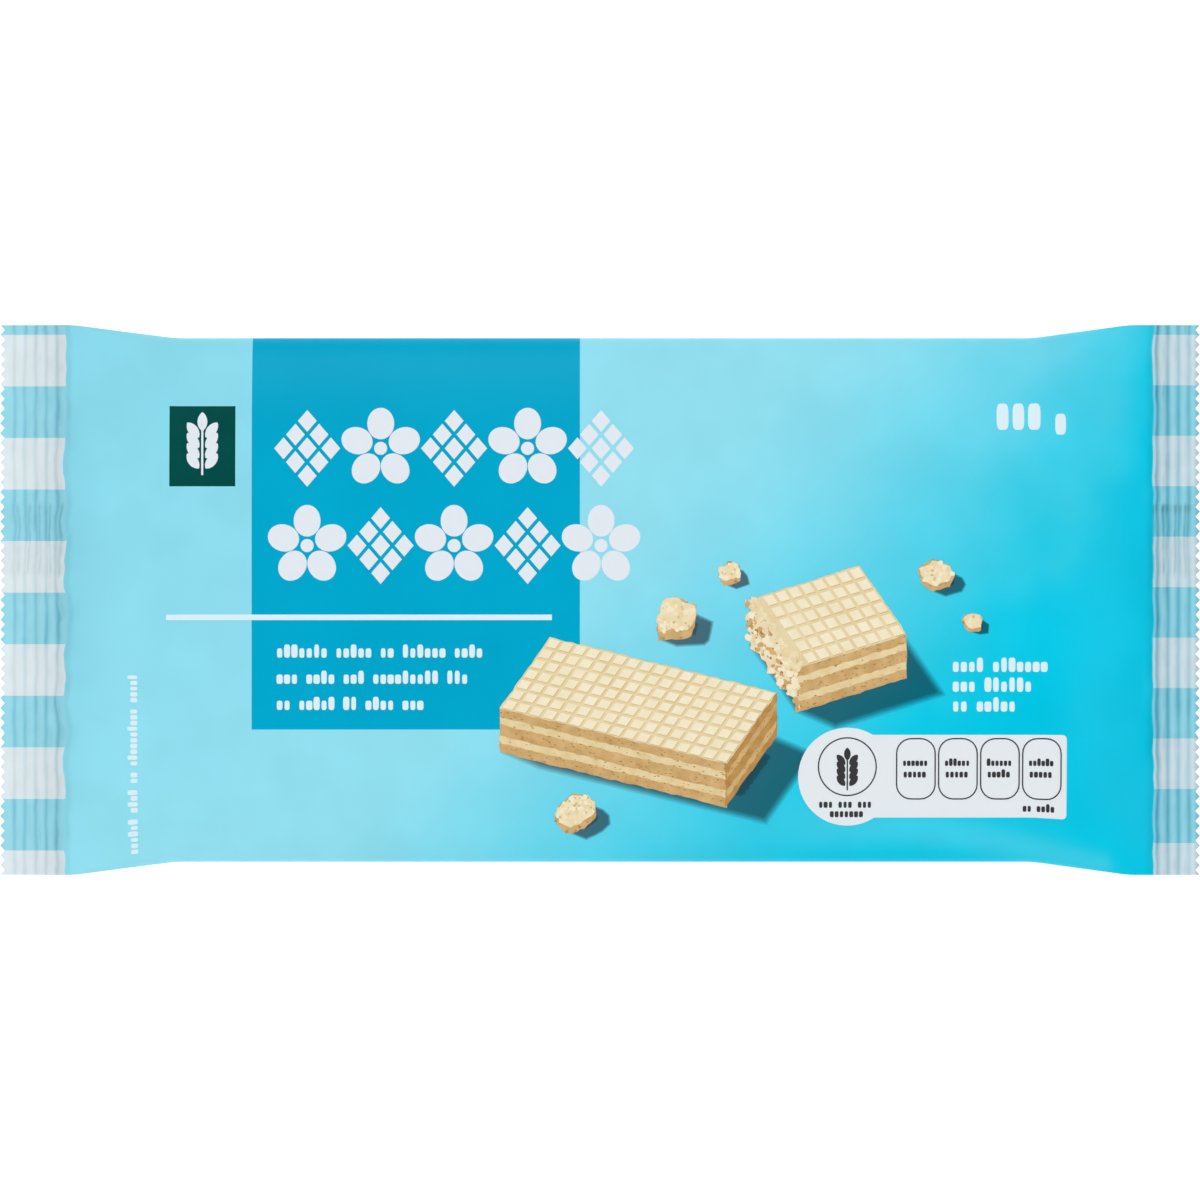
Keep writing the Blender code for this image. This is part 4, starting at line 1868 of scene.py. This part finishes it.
@dataclass
class FactsLabel:
    """The white label of facts: a disc with an ear of wheat, and four cells with two lines each.

    The disc's lines are placed from its centre, and a cell's from the middle of its upper edge.
    """

    press: Press
    paper: Material
    ink: Material
    disc_centre: Point = (46.8, -33.45)
    disc_radius: float = 9.3
    box: tuple = (50.9, 88.35, -41.2, -25.5)
    cell: tuple = (56.0, -26.1, 7.55, 11.7)
    cells: int = 4
    cell_pitch: float = 7.95
    stroke: float = 0.26
    arc_steps: int = 40
    corner: float = 0.8
    box_cut: float = 2.0
    cell_corner: float = 2.9
    ring_radius: float = 5.6
    ring_rise: float = 1.9
    ear_drop: float = 2.6
    ear_scale: float = 0.68
    paper_top: float = 0.08
    ink_top: float = 0.1
    ink_base: float = -0.02
    disc_lines: tuple = (
        WordRow(-5.0, -5.9, 10.2, 1.15, 71.0, tall=0.0),
        WordRow(-2.9, -7.7, 6.0, 1.15, 72.0, tall=0.0),
    )
    cell_lines: tuple = (
        WordRow(-2.15, -5.3, 4.6, 1.0, 73.0, gaps=0.0),
        WordRow(-2.0, -7.5, 4.2, 1.1, 83.0, gaps=0.0, tall=0.1),
    )
    last_line: WordRow = WordRow(80.4, -40.1, 6.6, 1.1, 93.0)

    def outline(self) -> Outline:
        """Outline the label: a disc that runs into a box.

        Returns:
            The outline.
        """
        left, right, low, high = self.box
        x, y = self.disc_centre
        radius = self.disc_radius
        first, last = (math.asin((edge - y) / radius) for edge in (high, low))
        arc = []
        for step in range(self.arc_steps + 1):
            angle = first + (math.tau - first + last) * step / self.arc_steps
            arc.append((x + radius * math.cos(angle), y + radius * math.sin(angle)))
        box = round_box(left, right, low, high, self.corner)
        box = [spot for spot in box if spot[0] > left + self.box_cut]
        return [spot for spot in box if spot[1] > y] + arc + [spot for spot in box if spot[1] <= y]

    def build(self) -> None:
        """Print the label."""
        x, y = self.disc_centre
        top, base = self.ink_top, self.ink_base
        radii = self.ring_radius, self.ring_radius - self.stroke
        ring = [oval((x, y + self.ring_rise), radius, radius, points=48) for radius in radii]
        left, high, width, height = self.cell
        edges = []
        for edge in (0.0, self.stroke):
            corner = self.cell_corner - edge
            edges.append(round_box(edge, width - edge, edge - height, -edge, corner, 7))
        rows = EvenRows(left, high, self.cell_pitch, 0.0, self.cells)
        layers = [
            Layer(slab("label_paper", [self.outline()], self.paper_top), self.paper),
            Layer(slab("label_ring", ring, top, base), self.ink),
            Layer(slab("label_cell", edges, top, base), self.ink, rows),
        ]
        layers += WheatEar().layers("label", self.ink, (x, y - self.ear_drop), self.ear_scale, top)
        mark = slab("dark_mark", [MARK], top, base, 2.0)
        lines = [line.moved(x, y) for line in self.disc_lines]
        for order in range(self.cells):
            middle = left + order * self.cell_pitch + width / 2.0
            lines += [line.moved(middle, high, order) for line in self.cell_lines]
        lines.append(self.last_line)
        self.press.run("facts_label", layers + [Layer(mark, self.ink, line) for line in lines])


def roughened(outline: Outline, step: float, amount: float, seed: int) -> Outline:
    """Make an outline uneven, as baked and broken edges are.

    Args:
        outline: the even outline.
        step: distance of its points.
        amount: the most that a point strays, square to the outline.
        seed: seed of the strays.

    Returns:
        The uneven outline.
    """
    chance = random.Random(seed)
    even = divided(outline, step)
    square = inset(even, 1.0)
    result = []
    for (x, y), (in_x, in_y) in zip(even, square):
        stray = chance.uniform(-amount, amount)
        result.append((x + stray * (in_x - x), y + stray * (in_y - y)))
    return result


def shifted(outline: Outline, move: Point) -> Outline:
    """Move an outline."""
    return [(x + move[0], y + move[1]) for x, y in outline]


def hull(spots: Outline) -> Outline:
    """Return the outline that is stretched round some spots."""
    return [spots[index] for index in convex_hull_2d([Vector(spot) for spot in spots])]


def lump(centre: Point, size: float, seed: int, points: int = 11) -> Outline:
    """Outline an uneven lump.

    Args:
        centre: its centre.
        size: about half of its width.
        seed: seed of its unevenness.
        points: number of its points.

    Returns:
        The outline.
    """
    chance = random.Random(seed)
    outline = []
    for index in range(points):
        angle = math.tau * (index + chance.uniform(-0.25, 0.25)) / points
        reach = size * chance.uniform(0.72, 1.12)
        outline.append((centre[0] + reach * math.cos(angle), centre[1] + 0.82 * reach * math.sin(angle)))
    return outline


@dataclass
class PictureInks:
    """The inks of the biscuit picture, each halftoned between two tones.

    A part of a shadow has its reach, its inset and the width of its rim, both in rims of the
    shadow, its lift, and its depths at the outline and inside the rim.
    """

    shadow: Material
    side: Material
    end: Material
    cream: Material
    groove: Material
    emboss: Material
    cell: Material
    pore: Material
    crumb: Material
    rim_share: float = 0.22
    core_gap: float = 0.65
    shadow_step: float = 0.8
    shadow_parts: tuple = ((1.0, -0.3, 1.0, 0.0, (0.0, 0.88)), (0.62, 0.7, 1.8, 0.01, (0.88, 1.0)))

    @classmethod
    def mixed(cls, sizes: PackSizes) -> "PictureInks":
        """Mix the inks.

        Args:
            sizes: the pack's sizes.

        Returns:
            The inks.
        """
        tones = {
            "side": ("#D3B07A", "#BE9860", 2.8),
            "end": ("#BF9558", "#A97E46", 2.4),
            "cream": ("#E3D2A6", "#D8C08C", 2.2),
            "groove": ("#E4D4AC", "#DCC89A", 5.0),
            "emboss": ("#D4BD8D", "#CBB07E", 5.0),
            "cell": ("#F0E6CB", "#EADDBB", 4.0),
            "pore": ("#B18A58", "#9C7445", 2.0),
            "crumb": ("#ECDFBC", "#E0CA9C", 1.6),
        }
        inks = {"shadow": ShadowOverprint("picture_shadow_ink", FadedGround(sizes=sizes)).material()}
        for name, (light, dark, patch) in tones.items():
            inks[name] = MottledInk(f"picture_{name}_ink", light, dark, patch * MM, 2.4).material()
        return cls(**inks)

    def shadows(self, name: str, base: Outline, fall: Point) -> list[Layer]:
        """Lay out a soft shadow: one shape of even depth, and a darker one next to what casts it.

        Args:
            name: name for its shapes.
            base: outline of the foot of what casts it.
            fall: how far the shadow falls.

        Returns:
            Its layers.
        """
        layers = []
        rim = self.rim_share * math.hypot(*fall)
        for reach, inward, width, lift, depths in self.shadow_parts:
            outline = hull(base + shifted(base, (reach * fall[0], reach * fall[1])))
            outline = divided(outline, self.shadow_step)
            shape = inset(outline, inward * rim)
            if inward > 0.0:
                shape = hull([spot for spot in shape if clearance(spot, outline) > self.core_gap * rim])
            top = PICTURE_HEIGHT + lift
            shape = slab(f"{name}_shadow", [shape], top, rim=width * rim, shades=depths)
            layers.append(Layer(shape, self.shadow))
        return layers


class Level(Enum):
    """Sheets of a printed biscuit or crumb, with their height over its shadow in millimetres."""

    BODY = 0.025
    SIDE = 0.03
    END = 0.036
    CREAM = 0.044
    END_CREAM = 0.047
    LUMP = 0.055
    CRUMB = 0.066
    TOP = 0.078
    BREAK = 0.08
    EMBOSS = 0.088
    CELL = 0.098


def sheet(name: str, level: Level, outline: Outline, ink: Material, spacing: float = 1.2) -> Layer:
    """Lay an outline down in one ink, at its level over the picture's shadows."""
    top = PICTURE_HEIGHT + level.value
    return Layer(slab(f"{name}_{level.name.lower()}", [outline], top, spacing=spacing), ink)


@dataclass(frozen=True)
class Biscuit:
    """One printed wafer biscuit: the corner of its top and the runs of its edges, in millimetres."""

    name: str
    corner: Point
    along: Point
    across: Point
    cells: tuple[int, int]
    seed: int
    broken: bool = False
    down: Point = (0.0, -8.3)
    fall: Point = (7.5, -3.2)
    cell_share: float = 0.74
    emboss_shift: Point = (0.1, -0.17)
    cream_layers: tuple = ((0.2, 0.36), (0.62, 0.78))
    whole_end: tuple = (1.0, 0.993, 0.985)
    broken_end: tuple = (0.0, 0.04, 0.02)
    stray: float = 0.13
    cream_stray: float = 0.14
    broken_stray: float = 0.7
    jags: int = 14

    def spot(self, along: float, across: float, down: float = 0.0) -> Point:
        """Place a spot by its shares of the long edge, of the short edge and of the height."""
        runs = (1.0, self.corner), (along, self.along), (across, self.across), (down, self.down)
        return tuple(sum(share * run[axis] for share, run in runs) for axis in (0, 1))

    def face(self, *corners: tuple) -> Outline:
        """Outline a face by the shares of its corners."""
        return [self.spot(*corner) for corner in corners]

    def _whole_top(self) -> Outline:
        """Outline the top as if it were whole."""
        return roughened(self.face((0, 0), (1, 0), (1, 1), (0, 1)), 1.1, self.stray, self.seed)

    def top(self) -> Outline:
        """Outline the top, with a jagged edge where the biscuit is broken.

        Returns:
            The outline.
        """
        if not self.broken:
            return self._whole_top()
        chance = random.Random(self.seed)
        steps = range(1, self.jags)
        jags = [self.spot(chance.uniform(-0.04, 0.06), 1.0 - step / self.jags) for step in steps]
        edges = divided(self.face((0.02, 0), (1, 0), (1, 1), (0.0, 1)), 1.1)
        sound = [spot for spot in edges if self._share_along(spot) > 0.05]
        return roughened(sound, 9.0, self.stray, self.seed) + jags

    def _share_along(self, spot: Point) -> float:
        """Work out how far along the top a spot lies.

        Args:
            spot: the spot.

        Returns:
            Its share of the long edge.
        """
        x, y = spot[0] - self.corner[0], spot[1] - self.corner[1]
        whole = self.along[0] * self.across[1] - self.along[1] * self.across[0]
        return (x * self.across[1] - y * self.across[0]) / whole

    def layers(self, inks: PictureInks) -> list[Layer]:
        """Lay out the biscuit.

        Args:
            inks: the picture's inks.

        Returns:
            Its layers, from the shadow up.
        """
        end, near, tucked = self.broken_end if self.broken else self.whole_end
        base = self.face((0, 0, 1), (1, 0, 1), (1, 1, 1), (0, 1, 1))
        long_face = self.face((0.01, 0.05), (0, 0), (0, 0, 1), (1, 0, 1), (1, 0), (0.99, 0.05))
        end_face = self.face((tucked, 0.01), (near, 0), (near, 0, 1), (end, 1, 1), (end, 1), (tucked, 0.99))
        if self.broken:
            end_face.reverse()
        stray = self.broken_stray if self.broken else self.stray
        end_face = roughened(end_face, 1.0, stray, self.seed + 1)
        long_face = roughened(long_face, 1.2, self.stray, self.seed + 2)
        long_side = sheet(self.name, Level.SIDE, long_face, inks.side)
        end_side = sheet(self.name, Level.END, end_face, inks.crumb if self.broken else inks.end)
        layers = inks.shadows(self.name, base, self.fall) + [long_side, end_side]
        for order, (upper, lower) in enumerate(self.cream_layers):
            strip = self.face((0, 0, lower), (0.995, 0, lower), (0.995, 0, upper), (0, 0, upper))
            strip = roughened(strip, 0.9, self.cream_stray, self.seed + 3 + order)
            layers.append(sheet(self.name, Level.CREAM, strip, inks.cream))
            if not self.broken:
                strip = self.face((1, 0, lower), (1, 0.99, lower), (1, 0.99, upper), (1, 0, upper))
                strip = roughened(strip, 0.9, self.cream_stray, self.seed + 5 + order)
                layers.append(sheet(self.name, Level.END_CREAM, strip, inks.side))
        pore = slab("pore", [roughened(oval((0.0, 0.0), 0.3, 0.11, points=8), 9.0, 0.03, 5)], 0.01, -0.01)
        faces = (long_side, self.along), (end_side, (-self.across[0], -self.across[1]))
        for order, (region, run) in enumerate(faces):
            lie = math.degrees(math.atan2(run[1], run[0]))
            setting = Scatter(region.shape, 90.0, 0.35, 1.1, self.seed + order, lie, 0.1)
            layers.append(Layer(pore, inks.pore, setting))
        if self.broken:
            layers.append(sheet(self.name, Level.CRUMB, self._whole_top(), inks.crumb))
        layers.append(sheet(self.name, Level.TOP, self.top(), inks.groove))
        layers.append(self._cells(Level.EMBOSS, inks.emboss, self.emboss_shift))
        layers.append(self._cells(Level.CELL, inks.cell, (0.0, 0.0)))
        return layers + (self._crumble(end_side.shape, inks) if self.broken else [])

    def _cells(self, level: Level, ink: Material, move: Point) -> Layer:
        """Lay out the cells of the waffle pattern on the top: the raised faces, or their shade.

        Args:
            level: place of the layer among the sheets.
            ink: the ink.
            move: how far the layer is moved.

        Returns:
            The layer.
        """
        count, rows = self.cells
        first = 1 if self.broken else 0
        run = self.along[0] / count, self.along[1] / count
        side = self.across[0] / rows, self.across[1] / rows
        low, high = (1.0 - self.cell_share) / 2.0, (1.0 + self.cell_share) / 2.0
        shares = ((low, low), (high, low), (high, high), (low, high))
        cell = [(a * run[0] + b * side[0], a * run[1] + b * side[1]) for a, b in shares]
        start = self.spot(first / count, 0.0)
        places = EvenRows(start[0] + move[0], start[1] + move[1], *run, count - first, *side, rows)
        return replace(sheet(self.name, level, cell, ink), setting=places)

    def _crumble(self, region: Mesh, inks: PictureInks) -> list[Layer]:
        """Lay out the loose crumb of a broken end: light lumps over dark hollows.

        Args:
            region: the end face.
            inks: the picture's inks.

        Returns:
            Its layers.
        """
        strip = self.face((-0.03, 0.03), (0.07, 0.03), (0.07, 0.97), (-0.03, 0.97))
        strip = roughened(strip, 0.9, 0.5, self.seed + 9)
        strip = sheet(self.name, Level.BREAK, strip, inks.crumb).shape
        hollow = slab("hollow", [lump((0.0, 0.0), 0.55, 6, 9)], 0.014, -0.01)
        bit = slab("bit", [lump((0.0, 0.0), 0.8, 7, 10)], 0.03, -0.01)
        return [
            Layer(hollow, inks.side, Scatter(region, 60.0, 0.5, 1.3, self.seed + 10)),
            Layer(hollow, inks.pore, Scatter(region, 16.0, 0.4, 0.9, self.seed + 14)),
            Layer(bit, inks.cell, Scatter(region, 50.0, 0.4, 1.2, self.seed + 11)),
            Layer(bit, inks.crumb, Scatter(strip, 110.0, 0.4, 1.1, self.seed + 12)),
            Layer(hollow, inks.emboss, Scatter(strip, 40.0, 0.3, 0.8, self.seed + 13)),
        ]


@dataclass(frozen=True)
class Crumb:
    """One printed crumb, in millimetres."""

    centre: Point
    size: float
    seed: int
    foot_drop: float = 0.36
    fall: Point = (0.75, -0.3)

    def layers(self, inks: PictureInks) -> list[Layer]:
        """Lay out the crumb.

        Args:
            inks: the picture's inks.

        Returns:
            Its layers, from the shadow up.
        """
        shape = lump(self.centre, self.size, self.seed)
        foot = shifted(shape, (0.0, -self.foot_drop * self.size))
        body = roughened(hull(shape + foot), 0.8, 0.16, self.seed)
        body = sheet("crumb", Level.BODY, body, inks.side, spacing=1.0)
        top = roughened(shape, 0.9, 0.2, self.seed)
        top = sheet("crumb", Level.LUMP, top, inks.crumb, spacing=1.0)
        hollow = slab("crumb_hollow", [lump((0.0, 0.0), 0.42, 3, 8)], 0.014, -0.01)
        bit = slab("crumb_bit", [lump((0.0, 0.0), 0.6, 4, 9)], 0.018, -0.01)
        fall = self.fall[0] * self.size, self.fall[1] * self.size
        return inks.shadows("crumb", hull(foot), fall) + [
            body,
            Layer(hollow, inks.end, Scatter(body.shape, 50.0, 0.4, 1.1, self.seed)),
            top,
            Layer(bit, inks.cell, Scatter(top.shape, 80.0, 0.4, 1.1, self.seed + 1)),
            Layer(hollow, inks.emboss, Scatter(top.shape, 34.0, 0.4, 0.9, self.seed + 2)),
        ]


@dataclass
class BiscuitPicture:
    """The printed picture: a whole wafer finger, a broken one and crumbs, with their shadows."""

    press: Press
    inks: PictureInks
    biscuits: tuple = (
        Biscuit("whole", (-19.0, -20.5), (43.0, -10.5), (9.5, 13.5), (17, 7), 3),
        Biscuit("broken", (37.0, -13.0), (21.0, 6.5), (-9.0, 13.0), (9, 6), 21, True),
    )
    crumbs: tuple = (
        Crumb((14.5, -3.0), 4.4, 31),
        Crumb((24.5, 5.4), 2.4, 42),
        Crumb((63.5, 5.0), 3.2, 53),
        Crumb((-4.5, -40.0), 3.8, 64),
        Crumb((70.5, -4.0), 1.9, 75),
    )

    def build(self) -> None:
        """Print the picture."""
        layers = [layer for item in self.crumbs + self.biscuits for layer in item.layers(self.inks)]
        self.press.run("biscuit_picture", layers, chart=True)


@dataclass
class Studio:
    """Plain pale light table, plain soft light, and the camera straight above the front."""

    picture_width: float = 228.0 * MM
    lens: float = 300.0
    sensor: float = 36.0
    plane: float = 8.5 * MM
    floor_size: float = 12.0
    floor_gap: float = 0.3 * MM
    softboxes: tuple = ((90.0, 11.5), (180.0, 11.5), (270.0, 10.5), (0.0, 10.5))
    light_tilt: float = 45.0
    light_distance: float = 2.1
    light_size: float = 1.3
    surround: float = 0.56
    zenith: Point = (0.75, 0.97)
    zenith_share: float = 0.05
    table_glow: float = 0.75

    def build(self) -> None:
        """Build the floor, the lights and the camera."""
        scene = bpy.context.scene
        scene.view_settings.view_transform = "Standard"
        plane = bmesh.new()
        bmesh.ops.create_grid(plane, x_segments=1, y_segments=1, size=self.floor_size / 2.0)
        bmesh.ops.translate(plane, verts=plane.verts, vec=(0.0, 0.0, -self.floor_gap))
        mesh = bpy.data.meshes.new("studio_floor")
        plane.to_mesh(mesh)
        plane.free()
        floor = new_object("studio_floor", mesh)
        material = bpy.data.materials.new("opal_acrylic_light_table")
        material.use_nodes = True
        tree = material.node_tree
        tree.nodes.clear()
        shader = {"Base Color": linear("#BCBEC0"), "Roughness": 0.9, "Emission Color": linear("#FFFFFF")}
        shader["Emission Strength"] = self.table_glow
        shader = add_node(tree, "ShaderNodeBsdfPrincipled", shader)
        add_node(tree, "ShaderNodeOutputMaterial", {"Surface": shader.outputs[0]})
        mesh.materials.append(material)
        world = bpy.data.worlds.new("soft_surround")
        world.use_nodes = True
        world.node_tree.nodes.clear()
        way = add_node(world.node_tree, "ShaderNodeTexCoord").outputs["Generated"]
        way = add_node(world.node_tree, "ShaderNodeSeparateXYZ", {0: way}).outputs[2]
        overhead = Field(world.node_tree, way).eased(*self.zenith)
        strength = self.surround * (1.0 - (1.0 - self.zenith_share) * overhead)
        glow = {"Color": linear("#FFFFFF"), "Strength": strength}
        glow = add_node(world.node_tree, "ShaderNodeBackground", glow)
        add_node(world.node_tree, "ShaderNodeOutputWorld", {"Surface": glow.outputs[0]})
        scene.world = world
        for azimuth, power in self.softboxes:
            self._add_softbox(azimuth, power)
        camera = bpy.data.cameras.new("camera")
        camera.lens = self.lens
        camera.sensor_width = self.sensor
        scene.camera = new_object("camera", camera)
        scene.camera.location.z = self.plane + self.picture_width * self.lens / self.sensor

    def _add_softbox(self, azimuth: float, power: float) -> None:
        """Hang one softbox around the pack.

        Args:
            azimuth: where it hangs, in degrees from the right of the print to its top.
            power: its power in watts.
        """
        softbox = bpy.data.lights.new("softbox", "AREA")
        softbox.energy = power
        softbox.size = self.light_size
        light = new_object("softbox", softbox)
        turn, tilt = math.radians(azimuth), math.radians(self.light_tilt)
        aim = Vector((math.cos(turn) * math.sin(tilt), math.sin(turn) * math.sin(tilt), math.cos(tilt)))
        light.location = aim * self.light_distance
        light.rotation_euler = aim.to_track_quat("Z", "Y").to_euler()


def main() -> None:
    """Build and dress the pack, then light it."""
    for item in list(bpy.data.objects):
        if item.name in ("Cube", "Light", "Camera"):
            bpy.data.objects.remove(item)
    sizes = PackSizes.of_solid()
    form = FilmForm(sizes)
    film = FilmWrap(sizes, form, PrintLayout(), field_inks(sizes))
    film.build()
    FinSeal(film, CrimpedGround(sizes=sizes)).build()
    press = Press(form)
    BiscuitPicture(press, PictureInks.mixed(sizes)).build()
    white = SolidInk("white_title_ink", "#DDE4EB").material()
    TitleOrnament(press, white).build()
    press.run("tile_emblem", WheatEar().layers("tile", white, (-75.25, 23.6), 1.0, 0.04))
    SmallPrint(press, SolidInk("white_small_print_ink", "#D5EAF0").material()).build()
    paper = SolidInk("white_label_ink", "#DEE4E7").material()
    FactsLabel(press, paper, SolidInk("charcoal_ink", "#3A383B").material()).build()
    Studio().build()
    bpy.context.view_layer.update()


if __name__ == "__main__":
    logging.basicConfig(level=logging.INFO)
    main()
